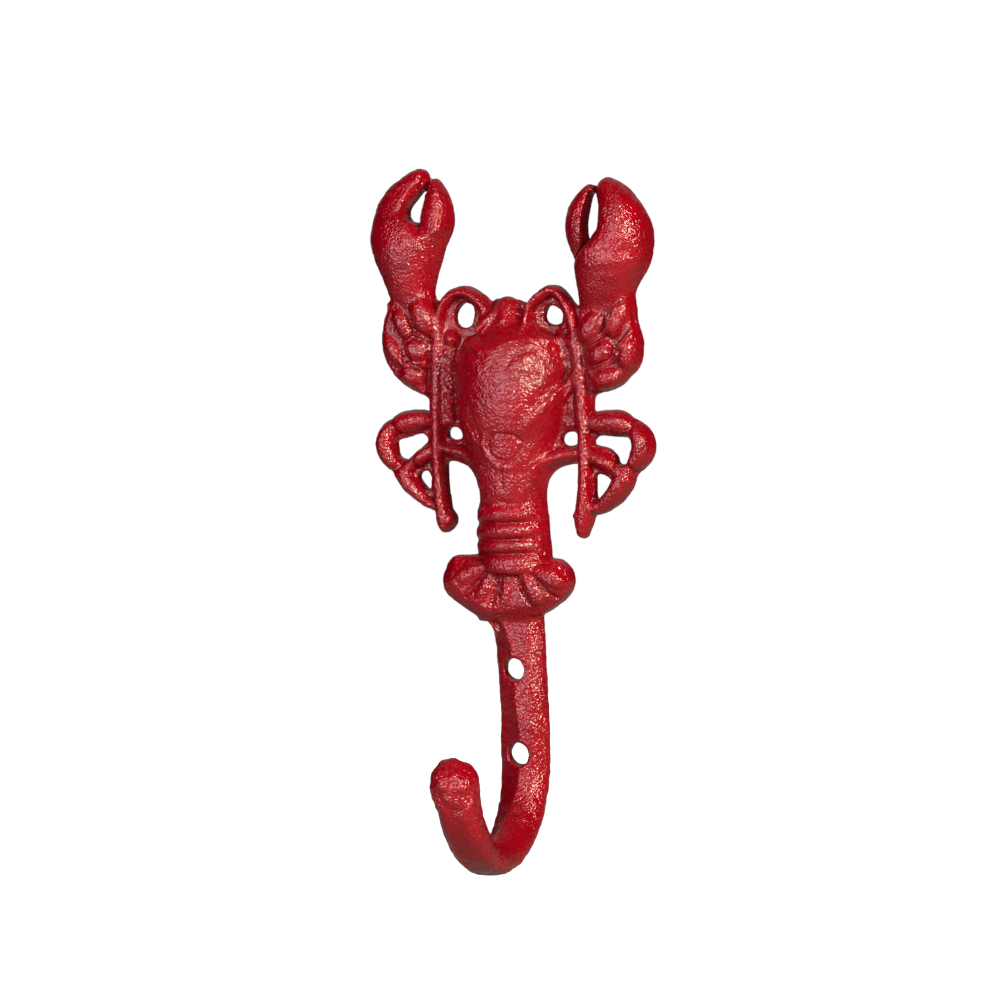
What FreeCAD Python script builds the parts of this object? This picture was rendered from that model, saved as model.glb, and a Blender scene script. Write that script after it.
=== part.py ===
import FreeCAD, Part
import math
import os

os.makedirs("parts", exist_ok=True)

# Wall hook cast in one piece: a lobster in relief above a J-shaped coat hook.
# Frame: wall plane y = 0, the casting stands on the -Y side, +Z up, +X to the
# right seen from the front. Origin: on the wall plane, half way between the
# two screw holes. Millimetres. "Depth" is a distance in front of the wall plane.

# ---------------------------------------------------------------- hook sizes
HOLE_RADIUS = 2.75        # screw holes, for a No. 10 / 5 mm wood screw
HOLE_SPACING = 22.0       # centre to centre, one above the other
HOLE_RIM = 0.5            # depth of the chamfer below the ridge line
FLARE = 2.0               # the chamfer cone widens and rises by this much

SHANK_X = 1.1             # centre line of the shank
SHANK_HALF = 6.4          # half of the shank's width
SHANK_DEPTH = 6.3         # wall plane to the ridge line
SHANK_EDGE = 0.9          # depth of the shank's upright side edges
SHANK_TOP = 31.0          # shank runs up behind the tail fan
SHANK_END = -13.0         # where the J bend begins
BACK_OVER = 2.0           # stock behind the wall plane, planed off at the end
# z, sideways place of the ridge, extra half width
SHANK_STATIONS = [(SHANK_TOP, -2.2, 0.4), (20.0, -1.6, 0.0), (10.0, -0.9, 0.0),
                  (0.0, -0.2, 0.0), (-8.0, 0.3, 0.0), (SHANK_END, 0.5, 0.0)]

BEND_CENTRE_DEPTH = 25.65
BEND_CENTRE_Z = SHANK_END
BEND_RADIUS_DEPTH = 22.35  # centre line radii of the bend
BEND_RADIUS_Z = 21.3
BEND_FIT = 0.985          # size of the bend's first section against the shank's
BEND_BACK_OVER = 0.8      # stock behind the wall plane in that section
BEND_POINTS = 20
TIP_RADIUS = 6.3          # ball end of the hook
TIP_X = -0.5
TIP_DEPTH = BEND_CENTRE_DEPTH + BEND_RADIUS_DEPTH
TIP_Z = -11.8
# angle from the shank, half width, half thickness, x centre, share of round section
BEND_STATIONS = [
    (-6, 6.3, 3.15, SHANK_X, 0.0), (6, 6.3, 3.2, 1.0, 0.03), (20, 6.3, 3.3, 0.8, 0.12),
    (35, 6.2, 3.5, 0.5, 0.28), (50, 6.0, 3.8, 0.1, 0.48), (70, 5.8, 4.0, -0.4, 0.75),
    (90, 5.7, 4.2, -0.8, 0.92), (110, 5.5, 4.4, -0.9, 1.0), (130, 5.3, 4.6, -0.8, 1.0),
    (150, 5.2, 4.9, -0.6, 1.0), (168, 5.4, 5.2, -0.5, 1.0), (180, 5.8, 5.7, TIP_X, 1.0)]

# ---------------------------------------------------------------- lobster tables
# Suffixes _l and _r are left and right seen from the front.
# Bodies lofted up the Z axis: rows of (x centre, z, half width, height over wall)
BODIES = {
    "claw_l": [
        (-24.1, 103.1, 4.7, 5.6), (-24.2, 105.2, 5.4, 6.2), (-24.2, 107.3, 6.0, 7.0),
        (-24.8, 109.9, 6.3, 8.0), (-24.8, 112.5, 6.9, 9.0), (-24.8, 115.0, 7.9, 10.0),
        (-25.2, 117.6, 8.7, 11.0), (-25.2, 120.2, 9.4, 11.5), (-25.0, 122.8, 10.1, 11.5),
        (-25.7, 125.4, 9.2, 11.0), (-28.5, 128.2, 5.5, 10.0), (-28.5, 130.8, 4.5, 9.0),
        (-27.4, 133.4, 4.6, 8.2), (-25.5, 135.8, 4.5, 7.4), (-23.3, 138.3, 3.9, 6.5),
        (-21.9, 139.8, 2.8, 5.2), (-21.0, 140.7, 1.4, 3.5)],
    "thumb_l": [
        (-18.1, 120.9, 1.5, 7.0), (-17.5, 122.9, 3.4, 8.5), (-17.4, 124.9, 4.3, 9.2),
        (-16.9, 127.0, 4.4, 9.2), (-16.6, 129.0, 4.1, 8.8), (-16.4, 131.1, 3.6, 8.2),
        (-16.4, 133.2, 3.0, 7.4), (-16.7, 135.3, 2.5, 6.4), (-17.0, 136.9, 1.6, 5.2),
        (-17.2, 138.0, 0.8, 3.2)],
    "claw_r": [
        (27.7, 98.8, 4.6, 5.6), (27.8, 100.8, 5.6, 6.4), (28.0, 102.8, 6.6, 7.5),
        (28.4, 104.8, 6.8, 8.5), (28.4, 106.8, 7.2, 9.5), (29.1, 109.3, 8.2, 10.5),
        (29.7, 111.8, 9.2, 11.5), (30.1, 114.2, 9.7, 12.0), (31.4, 116.7, 9.0, 12.0),
        (33.1, 119.1, 7.7, 12.0), (33.9, 121.5, 6.8, 11.5), (33.7, 124.1, 6.3, 11.0),
        (33.1, 126.6, 5.7, 10.0), (32.5, 129.2, 4.8, 9.0), (31.4, 131.8, 3.9, 7.6),
        (30.8, 133.4, 3.0, 6.4), (30.0, 134.7, 1.2, 4.0)],
    "thumb_r": [
        (22.3, 115.9, 1.2, 4.5), (22.0, 117.9, 1.8, 6.5), (21.9, 119.9, 2.2, 7.6),
        (21.6, 122.4, 2.5, 8.0), (21.8, 125.0, 2.5, 8.0), (22.4, 127.4, 2.4, 7.6),
        (23.3, 129.9, 1.9, 7.0), (24.1, 131.9, 1.4, 6.0), (24.9, 133.2, 1.1, 4.6),
        (25.1, 133.8, 0.5, 2.8)],
    "carapace": [
        (2.7, 101.2, 9.4, 7.0), (2.0, 98.1, 12.0, 9.5), (2.0, 95.0, 13.3, 12.0),
        (1.9, 91.7, 14.0, 14.0), (2.0, 87.8, 14.3, 15.5), (1.8, 84.0, 14.3, 16.0),
        (1.8, 80.2, 14.2, 15.8), (1.6, 76.3, 13.9, 15.2), (1.5, 72.5, 13.0, 14.4),
        (1.6, 68.7, 11.9, 13.6), (1.4, 64.8, 10.8, 13.0), (1.3, 61.0, 9.7, 12.6),
        (1.3, 57.6, 8.8, 12.2), (1.0, 53.8, 8.5, 10.7), (0.9, 51.4, 9.1, 12.3),
        (0.9, 48.9, 9.1, 10.6), (0.7, 46.6, 9.5, 11.9), (0.7, 44.6, 9.4, 10.2),
        (0.7, 42.9, 9.7, 11.3), (0.9, 41.0, 9.6, 9.6), (1.0, 38.6, 9.6, 10.7),
        (1.1, 36.0, 8.6, 9.0), (1.2, 33.9, 7.0, 8.0)],
}

# Squareness of a section's front: 2 is an ellipse, more is boxier
BODY_SQUARE = {"carapace": 2.7, "claw_l": 2.2, "claw_r": 2.2, "thumb_l": 2.1, "thumb_r": 2.1}
FAN_SQUARE = 2.3
LIMB_SQUARE = 2.0

# Limbs lofted along a line in the wall plane: rows of (x, z, half width, height)
LIMBS = {
    "antenna_l": [
        (-3.7, 104.9, 1.1, 5.0), (-4.9, 107.0, 1.3, 5.6), (-7.2, 108.7, 1.5, 6.0),
        (-10.2, 109.1, 1.6, 6.2), (-13.0, 108.0, 1.4, 6.4), (-15.0, 106.0, 1.2, 6.6),
        (-16.4, 103.5, 1.1, 6.8), (-17.3, 100.2, 1.1, 7.0), (-17.9, 96.1, 1.1, 7.0),
        (-18.4, 91.4, 1.3, 7.0), (-18.9, 85.0, 1.5, 6.8), (-18.9, 78.5, 1.5, 6.8),
        (-18.9, 72.0, 1.6, 6.6), (-18.8, 65.5, 1.6, 6.4), (-18.6, 60.3, 1.6, 6.2),
        (-18.3, 55.8, 1.6, 6.0), (-18.0, 52.4, 1.6, 5.6), (-17.9, 49.5, 1.6, 4.8),
        (-18.0, 48.2, 0.9, 3.6)],
    "antenna_r": [
        (7.7, 103.2, 1.1, 5.0), (9.0, 105.5, 1.2, 5.6), (11.0, 107.2, 1.5, 6.0),
        (13.7, 107.7, 1.6, 6.2), (16.1, 106.8, 1.4, 6.4), (17.8, 104.7, 1.1, 6.6),
        (18.9, 101.8, 1.1, 6.8), (20.0, 98.2, 1.2, 7.0), (20.7, 94.1, 1.3, 7.0),
        (21.3, 89.5, 1.4, 7.0), (21.5, 83.2, 1.5, 6.8), (21.5, 76.8, 1.5, 6.8),
        (21.5, 70.5, 1.6, 6.6), (21.4, 64.1, 1.6, 6.4), (21.2, 59.0, 1.6, 6.2),
        (20.8, 53.9, 1.8, 6.0), (20.4, 50.3, 1.9, 5.6), (19.9, 47.3, 1.7, 4.8),
        (19.6, 45.5, 0.9, 3.4)],
    "arm_l1": [
        (-25.2, 108.4, 2.0, 6.6), (-24.0, 105.7, 2.5, 8.4), (-22.7, 102.5, 2.5, 8.8),
        (-21.5, 99.6, 1.7, 8.0), (-20.8, 97.5, 0.7, 6.0)],
    "arm_l2": [
        (-29.0, 105.8, 0.6, 4.6), (-28.2, 103.6, 1.1, 7.2), (-27.6, 101.0, 1.7, 8.0),
        (-27.6, 98.6, 1.2, 7.4), (-27.7, 97.1, 0.6, 5.0)],
    "arm_l3": [
        (-31.8, 99.9, 0.7, 4.6), (-31.6, 97.3, 1.6, 6.8), (-30.8, 94.4, 2.0, 7.6),
        (-29.6, 91.4, 1.5, 7.2), (-28.9, 89.3, 0.7, 5.0)],
    "arm_l4": [
        (-27.7, 95.8, 1.2, 5.0), (-25.7, 94.9, 2.2, 7.6), (-23.5, 93.7, 2.5, 8.2),
        (-21.7, 92.6, 2.1, 7.4), (-20.3, 91.8, 1.1, 5.4)],
    "arm_l5": [
        (-30.1, 89.1, 1.2, 4.6), (-27.6, 88.5, 2.1, 6.8), (-25.0, 87.1, 2.3, 7.4),
        (-22.9, 85.9, 1.9, 6.8), (-21.3, 84.5, 0.9, 5.0)],
    "arm_r1": [
        (27.7, 102.9, 2.4, 6.0), (26.2, 100.9, 2.9, 8.2), (24.6, 98.7, 2.7, 8.6),
        (22.8, 96.3, 1.9, 8.0), (21.4, 94.1, 0.7, 6.2)],
    "arm_r2": [
        (34.2, 104.5, 0.6, 4.6), (33.6, 102.5, 1.0, 7.0), (32.5, 99.8, 1.6, 7.8),
        (31.3, 97.1, 1.4, 7.4), (29.9, 95.2, 0.8, 5.2)],
    "arm_r3": [
        (29.3, 94.2, 1.0, 5.2), (28.2, 93.0, 1.9, 7.6), (26.6, 91.5, 2.2, 8.2),
        (24.6, 90.1, 2.0, 7.6), (22.7, 89.0, 1.1, 5.4)],
    "arm_r4": [
        (34.6, 96.0, 0.9, 4.6), (35.0, 93.7, 1.5, 6.8), (34.5, 90.9, 2.0, 7.6),
        (33.2, 88.5, 1.6, 7.2), (31.9, 86.5, 0.8, 5.0)],
    "arm_r5": [
        (31.3, 86.3, 1.1, 5.0), (29.9, 85.1, 2.1, 6.8), (27.8, 84.4, 2.4, 7.4),
        (25.6, 83.8, 2.1, 6.8), (23.5, 82.8, 1.2, 5.0)],
    "leg_l1": [
        (-19.5, 75.6, 2.3, 4.8), (-22.7, 75.8, 2.5, 5.6), (-26.0, 75.9, 2.8, 6.0),
        (-28.9, 75.6, 2.7, 6.0), (-31.2, 74.8, 2.6, 5.4), (-32.5, 73.3, 2.5, 5.8),
        (-33.2, 70.9, 2.6, 6.2), (-32.9, 68.3, 2.6, 6.2), (-31.6, 65.7, 2.4, 5.8),
        (-30.3, 63.8, 2.1, 5.2), (-28.7, 61.6, 2.4, 5.8), (-27.3, 59.2, 2.4, 5.8),
        (-25.4, 56.8, 2.0, 5.4), (-23.0, 54.9, 1.5, 4.8), (-20.6, 53.5, 1.4, 4.4)],
    "leg_l2": [
        (-19.3, 68.9, 1.7, 4.6), (-21.5, 67.6, 2.0, 5.2), (-24.0, 65.9, 2.2, 5.8),
        (-26.7, 64.2, 2.1, 5.2), (-28.9, 62.4, 1.7, 4.6)],
    "leg_r1": [
        (21.4, 73.5, 2.3, 4.8), (24.7, 73.4, 2.8, 5.6), (27.9, 73.5, 3.0, 6.0),
        (31.1, 73.2, 3.0, 6.0), (33.7, 72.1, 2.9, 5.6), (35.6, 70.4, 2.8, 5.8),
        (36.6, 68.1, 2.9, 6.2), (36.2, 65.6, 2.9, 6.2), (34.6, 63.1, 2.7, 5.8),
        (32.4, 61.0, 2.3, 5.2), (30.5, 58.7, 2.8, 5.8), (28.8, 56.5, 2.8, 5.8),
        (26.5, 54.2, 2.4, 5.4), (24.0, 52.6, 2.0, 4.8), (21.5, 51.8, 1.8, 4.4)],
    "leg_r2": [
        (21.6, 65.6, 1.7, 4.6), (23.8, 64.5, 2.0, 5.4), (26.4, 63.1, 2.2, 5.8),
        (28.7, 61.8, 2.2, 5.4), (30.7, 60.5, 1.7, 4.8)],
    "bar_l": [
        (-8.5, 66.2, 1.7, 7.0), (-11.4, 67.3, 1.6, 6.0), (-14.5, 67.9, 1.6, 5.6),
        (-17.5, 68.5, 1.5, 5.2)],
    "bar_r": [
        (10.2, 64.5, 2.0, 7.0), (13.1, 65.1, 1.9, 6.2), (16.1, 65.8, 1.8, 5.8),
        (19.0, 66.2, 1.6, 5.2)],
    "rostrum": [
        (2.4, 94.3, 4.1, 11.5), (2.4, 97.1, 3.6, 10.5), (2.6, 99.9, 2.9, 9.0),
        (2.7, 102.7, 1.9, 7.4), (2.6, 104.8, 1.3, 5.8), (2.5, 106.1, 0.5, 4.4)],
    "fan_1": [
        (-4.8, 35.6, 2.3, 8.6), (-8.6, 35.3, 2.8, 9.2), (-12.4, 34.8, 4.1, 9.6),
        (-14.7, 34.4, 4.4, 9.2), (-16.6, 33.7, 4.0, 8.2), (-18.3, 33.2, 2.5, 6.0)],
    "fan_2": [
        (-4.0, 35.3, 1.6, 8.8), (-6.2, 33.0, 2.3, 9.6), (-8.7, 30.8, 2.7, 9.8),
        (-10.6, 28.9, 2.5, 9.0), (-12.1, 27.9, 1.7, 6.6)],
    "fan_3": [
        (-0.9, 36.3, 1.5, 8.8), (-0.9, 33.7, 2.2, 9.8), (-0.8, 31.2, 2.7, 10.2),
        (-0.8, 28.8, 2.7, 9.8), (-1.2, 26.7, 2.1, 7.6)],
    "fan_4": [
        (2.3, 35.2, 1.5, 8.8), (4.2, 32.9, 2.2, 9.6), (6.0, 30.5, 2.8, 9.8),
        (7.5, 28.4, 2.6, 9.2), (8.5, 26.5, 2.0, 6.8)],
    "fan_5": [
        (3.4, 35.9, 2.0, 8.6), (7.0, 35.4, 2.8, 9.2), (10.5, 34.4, 3.9, 9.6),
        (13.1, 33.3, 4.3, 9.2), (14.9, 32.8, 3.5, 8.0), (15.9, 32.3, 2.2, 5.6)],
}

# Outline (x, z) of the thin web that carries head, arms and legs
WEB_DEPTH = 3.0
WEB_BACK = 1.0            # stock behind the wall plane
WEB = [
    (-30.4, 107.1), (-32.6, 102.0), (-33.8, 96.1), (-32.9, 91.6), (-29.7, 86.7), (-25.3, 83.9),
    (-21.0, 80.9), (-21.1, 78.0), (-22.0, 71.8), (-21.0, 68.9), (-21.4, 66.1), (-15.6, 64.8),
    (-10.7, 63.6), (-8.7, 59.4), (-7.2, 55.2), (8.9, 54.7), (10.8, 59.3), (13.3, 62.3),
    (18.0, 63.7), (22.5, 63.5), (23.7, 65.3), (23.8, 69.1), (23.5, 73.2), (23.7, 78.2),
    (25.7, 80.9), (29.2, 81.8), (33.0, 84.4), (36.4, 88.3), (37.1, 93.3), (36.0, 98.4),
    (35.2, 103.5), (30.4, 102.2), (25.8, 101.7), (21.1, 103.3), (19.2, 102.9), (16.4, 106.1),
    (13.4, 106.7), (10.7, 106.1), (7.9, 104.5), (6.9, 104.9), (4.4, 105.3), (-1.5, 106.0),
    (-3.8, 105.1), (-6.9, 107.9), (-10.8, 108.9), (-14.2, 107.3), (-16.2, 105.0), (-18.6, 107.0)]

# Outline (x, z) of the plate under the five lobes of the tail fan
FAN_PLATE_DEPTH = 6.8
FAN_PLATE_BACK = 1.6      # stock behind the wall plane
FAN_PLATE = [
    (-6.6, 40.4), (-10.5, 40.0), (-12.7, 40.0), (-14.6, 39.5), (-16.1, 38.3), (-16.7, 36.7),
    (-17.5, 34.4), (-17.2, 32.3), (-15.9, 30.5), (-13.4, 29.7), (-12.1, 28.1), (-10.8, 26.8),
    (-7.3, 25.7), (-3.8, 24.6), (0.0, 24.2), (4.1, 24.2), (9.1, 25.6), (11.0, 26.7),
    (13.2, 28.2), (14.9, 29.7), (17.0, 31.7), (17.6, 33.8), (17.2, 35.6), (16.3, 36.9),
    (14.5, 38.2), (11.3, 39.5)]

# Outlines (x, z) of the see-through openings, left and right in turn
OPENINGS = [
    # inside the antenna arches
    [(-9.4, 105.8), (-7.5, 105.6), (-7.0, 104.0), (-7.4, 101.5), (-8.3, 99.7), (-9.7, 99.3),
     (-11.1, 99.8), (-12.0, 101.4), (-11.8, 103.2), (-10.8, 105.0)],
    [(13.7, 103.8), (15.5, 103.0), (16.7, 102.2), (16.9, 100.7), (16.3, 99.4), (15.1, 98.9),
     (13.4, 99.2), (12.6, 100.1), (12.5, 101.7), (13.0, 103.4)],
    # small holes above the bars
    [(-13.6, 74.0), (-12.4, 73.2), (-12.1, 71.5), (-12.8, 70.6), (-14.3, 70.6), (-15.2, 71.7),
     (-15.3, 72.9), (-14.7, 73.8)],
    [(17.9, 71.6), (19.3, 71.0), (19.8, 69.8), (19.3, 68.5), (17.8, 67.8), (16.3, 68.2),
     (15.6, 69.4), (16.3, 70.9)],
    # between claw and thumb
    [(-19.5, 135.0), (-19.2, 134.4), (-19.9, 131.3), (-20.9, 128.3), (-21.9, 127.3),
     (-23.0, 127.9), (-23.5, 129.2), (-23.3, 130.8), (-22.1, 132.8)],
    [(26.9, 131.4), (27.3, 130.4), (27.5, 128.3), (27.1, 126.1), (27.2, 123.1), (26.8, 121.5),
     (25.7, 120.3), (24.9, 120.8), (24.9, 123.7), (25.5, 126.5), (25.9, 129.2), (26.4, 130.7)],
    # between the legs: upper and lower on the left, then on the right
    [(-29.7, 71.8), (-27.0, 72.4), (-23.1, 72.9), (-21.4, 71.3), (-22.3, 70.3), (-25.2, 68.0),
     (-27.6, 66.2), (-29.4, 66.5), (-30.0, 68.5)],
    [(-22.7, 63.2), (-21.6, 62.7), (-21.1, 60.3), (-21.5, 57.7), (-22.6, 57.9), (-24.2, 60.2),
     (-24.1, 61.7)],
    [(23.9, 68.3), (24.5, 69.8), (25.5, 70.3), (29.7, 69.6), (32.4, 69.5), (33.1, 68.0),
     (33.2, 65.7), (32.5, 63.7), (31.0, 63.0), (29.9, 63.9), (29.0, 65.6), (27.6, 66.5),
     (24.6, 67.0)],
    [(23.6, 59.9), (24.4, 60.4), (25.8, 59.8), (26.9, 58.8), (27.1, 57.5), (25.9, 56.0),
     (24.5, 54.8), (23.6, 55.1)],
]


# ---------------------------------------------------------------- helpers
def closed_spline(points):
    curve = Part.BSplineCurve()
    curve.interpolate(Points=points, PeriodicFlag=True)
    return Part.Wire([curve.toShape()])


def closed_polygon(points):
    return Part.makePolygon(points + points[:1])


def prism(make_wire, outline, front, back):
    """Extrude an (x, z) outline from y = back to y = front."""
    wire = make_wire([FreeCAD.Vector(x, back, z) for x, z in outline])
    return Part.Face(wire).extrude(FreeCAD.Vector(0, front - back, 0))


def smooth_loft(wires):
    return Part.makeLoft(wires, True, False, False)


def power(value, exponent):
    return math.copysign(abs(value) ** exponent, value)


def section(row, side, square, count, back):
    """Closed wire: a rounded front of the row's height, a back reaching behind the wall."""
    x, z, half, height = row
    points = []
    for k in range(count):
        angle = 2.0 * math.pi * k / count - math.pi / 2
        across = half * power(math.cos(angle), 2.0 / square)
        depth = math.sin(angle)
        depth = power(depth, 2.0 / square) * height if depth > 0 else depth * back
        points.append(FreeCAD.Vector(x + across * side.x, -depth, z + across * side.z))
    return closed_spline(points)


# ---------------------------------------------------------------- lobster pieces
def body(rows, square, back):
    side = FreeCAD.Vector(1, 0, 0)
    rows = sorted(rows, key=lambda row: row[1])
    return smooth_loft([section(row, side, square, 16, back) for row in rows])


def limb(rows, square, back):
    """Loft whose sections stand square to the line through their neighbours."""
    wires = []
    for i, row in enumerate(rows):
        x0, z0 = rows[max(i - 1, 0)][:2]
        x1, z1 = rows[min(i + 1, len(rows) - 1)][:2]
        length = math.hypot(x1 - x0, z1 - z0)
        side = FreeCAD.Vector((z1 - z0) / length, 0, -(x1 - x0) / length)
        wires.append(section(row, side, square, 12, back))
    return smooth_loft(wires)


def relief_pieces():
    """Bodies, then limbs. Their backs reach different distances behind the wall
    plane, to keep overlapping pieces from sharing a back before planing."""
    pieces = [body(rows, BODY_SQUARE[name], 4.0 + 0.7 * i)
              for i, (name, rows) in enumerate(BODIES.items())]
    for i, (name, rows) in enumerate(LIMBS.items()):
        square = FAN_SQUARE if name.startswith("fan") else LIMB_SQUARE
        pieces.append(limb(rows, square, 2.2 + 0.53 * (i % 5)))
    return pieces


# ---------------------------------------------------------------- hook
def shank_outline(ridge, half, depth):
    """Corners (sideways, depth) of the shank's section."""
    return [(-half, -BACK_OVER), (-half, SHANK_EDGE), (ridge - 0.7, depth - 0.35),
            (ridge + 0.6, depth), (half * 0.55, depth * 0.86), (half * 0.92, depth * 0.5),
            (half, SHANK_EDGE), (half, -BACK_OVER)]


def shank():
    wires = []
    for z, ridge, extra in SHANK_STATIONS:
        outline = shank_outline(ridge, SHANK_HALF + extra, SHANK_DEPTH)
        wires.append(closed_polygon([FreeCAD.Vector(SHANK_X + across, -depth, z)
                                     for across, depth in outline]))
    return Part.makeLoft(wires, True, True, False)


def ray_point(outline, angle):
    """Where a ray from the section's centre meets the closed outline."""
    cosine, sine = math.cos(angle), math.sin(angle)
    reach = 0.0
    for (x0, y0), (x1, y1) in zip(outline, outline[1:] + outline[:1]):
        dx, dy = x1 - x0, y1 - y0
        det = cosine * dy - sine * dx
        if abs(det) < 1e-9:
            continue
        distance = (x0 * dy - y0 * dx) / det
        along = (sine * x0 - cosine * y0) / det
        if distance > reach and -1e-9 <= along <= 1 + 1e-9:
            reach = distance
    return reach * cosine, reach * sine


def bend():
    """Bar of the J: its section blends from the shank's into an ellipse."""
    middle = BEND_CENTRE_DEPTH - BEND_RADIUS_DEPTH
    last_ridge = SHANK_STATIONS[-1][1]
    shank_like = [(across * BEND_FIT, max(depth, -BEND_BACK_OVER) - middle)
                  for across, depth in shank_outline(last_ridge, SHANK_HALF,
                                                     SHANK_DEPTH * BEND_FIT)]
    wires = []
    for degrees, half, thick, x, share in BEND_STATIONS:
        turn = math.radians(degrees)
        y = -(BEND_CENTRE_DEPTH - BEND_RADIUS_DEPTH * math.cos(turn))
        z = BEND_CENTRE_Z - BEND_RADIUS_Z * math.sin(turn)
        # normal of the centre line, towards the inside of the J
        inward = FreeCAD.Vector(0, -BEND_RADIUS_Z * math.cos(turn),
                                BEND_RADIUS_DEPTH * math.sin(turn))
        inward.normalize()
        points = []
        for k in range(BEND_POINTS):
            angle = 2.0 * math.pi * k / BEND_POINTS - math.pi / 2
            across, rise = ray_point(shank_like, angle)
            across = (1 - share) * across + share * half * math.cos(angle)
            rise = (1 - share) * rise + share * thick * math.sin(angle)
            points.append(FreeCAD.Vector(x + across, y + rise * inward.y, z + rise * inward.z))
        wires.append(closed_spline(points))
    return smooth_loft(wires)


def screw_hole(z):
    """Through hole with a cone that chamfers its front rim."""
    forward = FreeCAD.Vector(0, -1, 0)
    hole = Part.makeCylinder(HOLE_RADIUS, 30, FreeCAD.Vector(0, 10, z), forward)
    flare = Part.makeCone(HOLE_RADIUS, HOLE_RADIUS + FLARE, FLARE,
                          FreeCAD.Vector(0, -SHANK_DEPTH + HOLE_RIM, z), forward)
    return hole.fuse(flare)


def coat_hook():
    hook = shank().fuse(bend())
    hook = hook.fuse(Part.makeSphere(TIP_RADIUS, FreeCAD.Vector(TIP_X, -TIP_DEPTH, TIP_Z)))
    for z in (HOLE_SPACING / 2, -HOLE_SPACING / 2):
        hook = hook.cut(screw_hole(z))
    return hook


# ---------------------------------------------------------------- casting
def hook_casting():
    casting = prism(closed_polygon, WEB, -WEB_DEPTH, WEB_BACK)
    for piece in relief_pieces():
        casting = casting.fuse(piece)
    casting = casting.fuse(coat_hook())
    casting = casting.fuse(prism(closed_polygon, FAN_PLATE, -FAN_PLATE_DEPTH, FAN_PLATE_BACK))
    for outline in OPENINGS:
        casting = casting.cut(prism(closed_spline, outline, -30.0, 15.0))
    # plane the back flat on the wall
    behind = Part.makeBox(200, 60, 400, FreeCAD.Vector(-100, 0, -200))
    casting = casting.cut([behind], 0.001)
    return casting.Solids[0]


hook_casting().exportStep("parts/hook_casting.step")
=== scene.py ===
# A wall hook in red painted cast iron: a clawed, fan-tailed crustacean in relief over a flat
# shank that bends into a J. The flat back lies on the wall plane y = 0, x runs to the right as
# seen from the room, z runs up and the hook stands out towards -y. The sculpting is done in
# millimetres with "out" as the distance from the wall (y = -out); the studio is in metres.
import math
from itertools import product

import bpy
import numpy as np
from mathutils import Matrix


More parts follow.
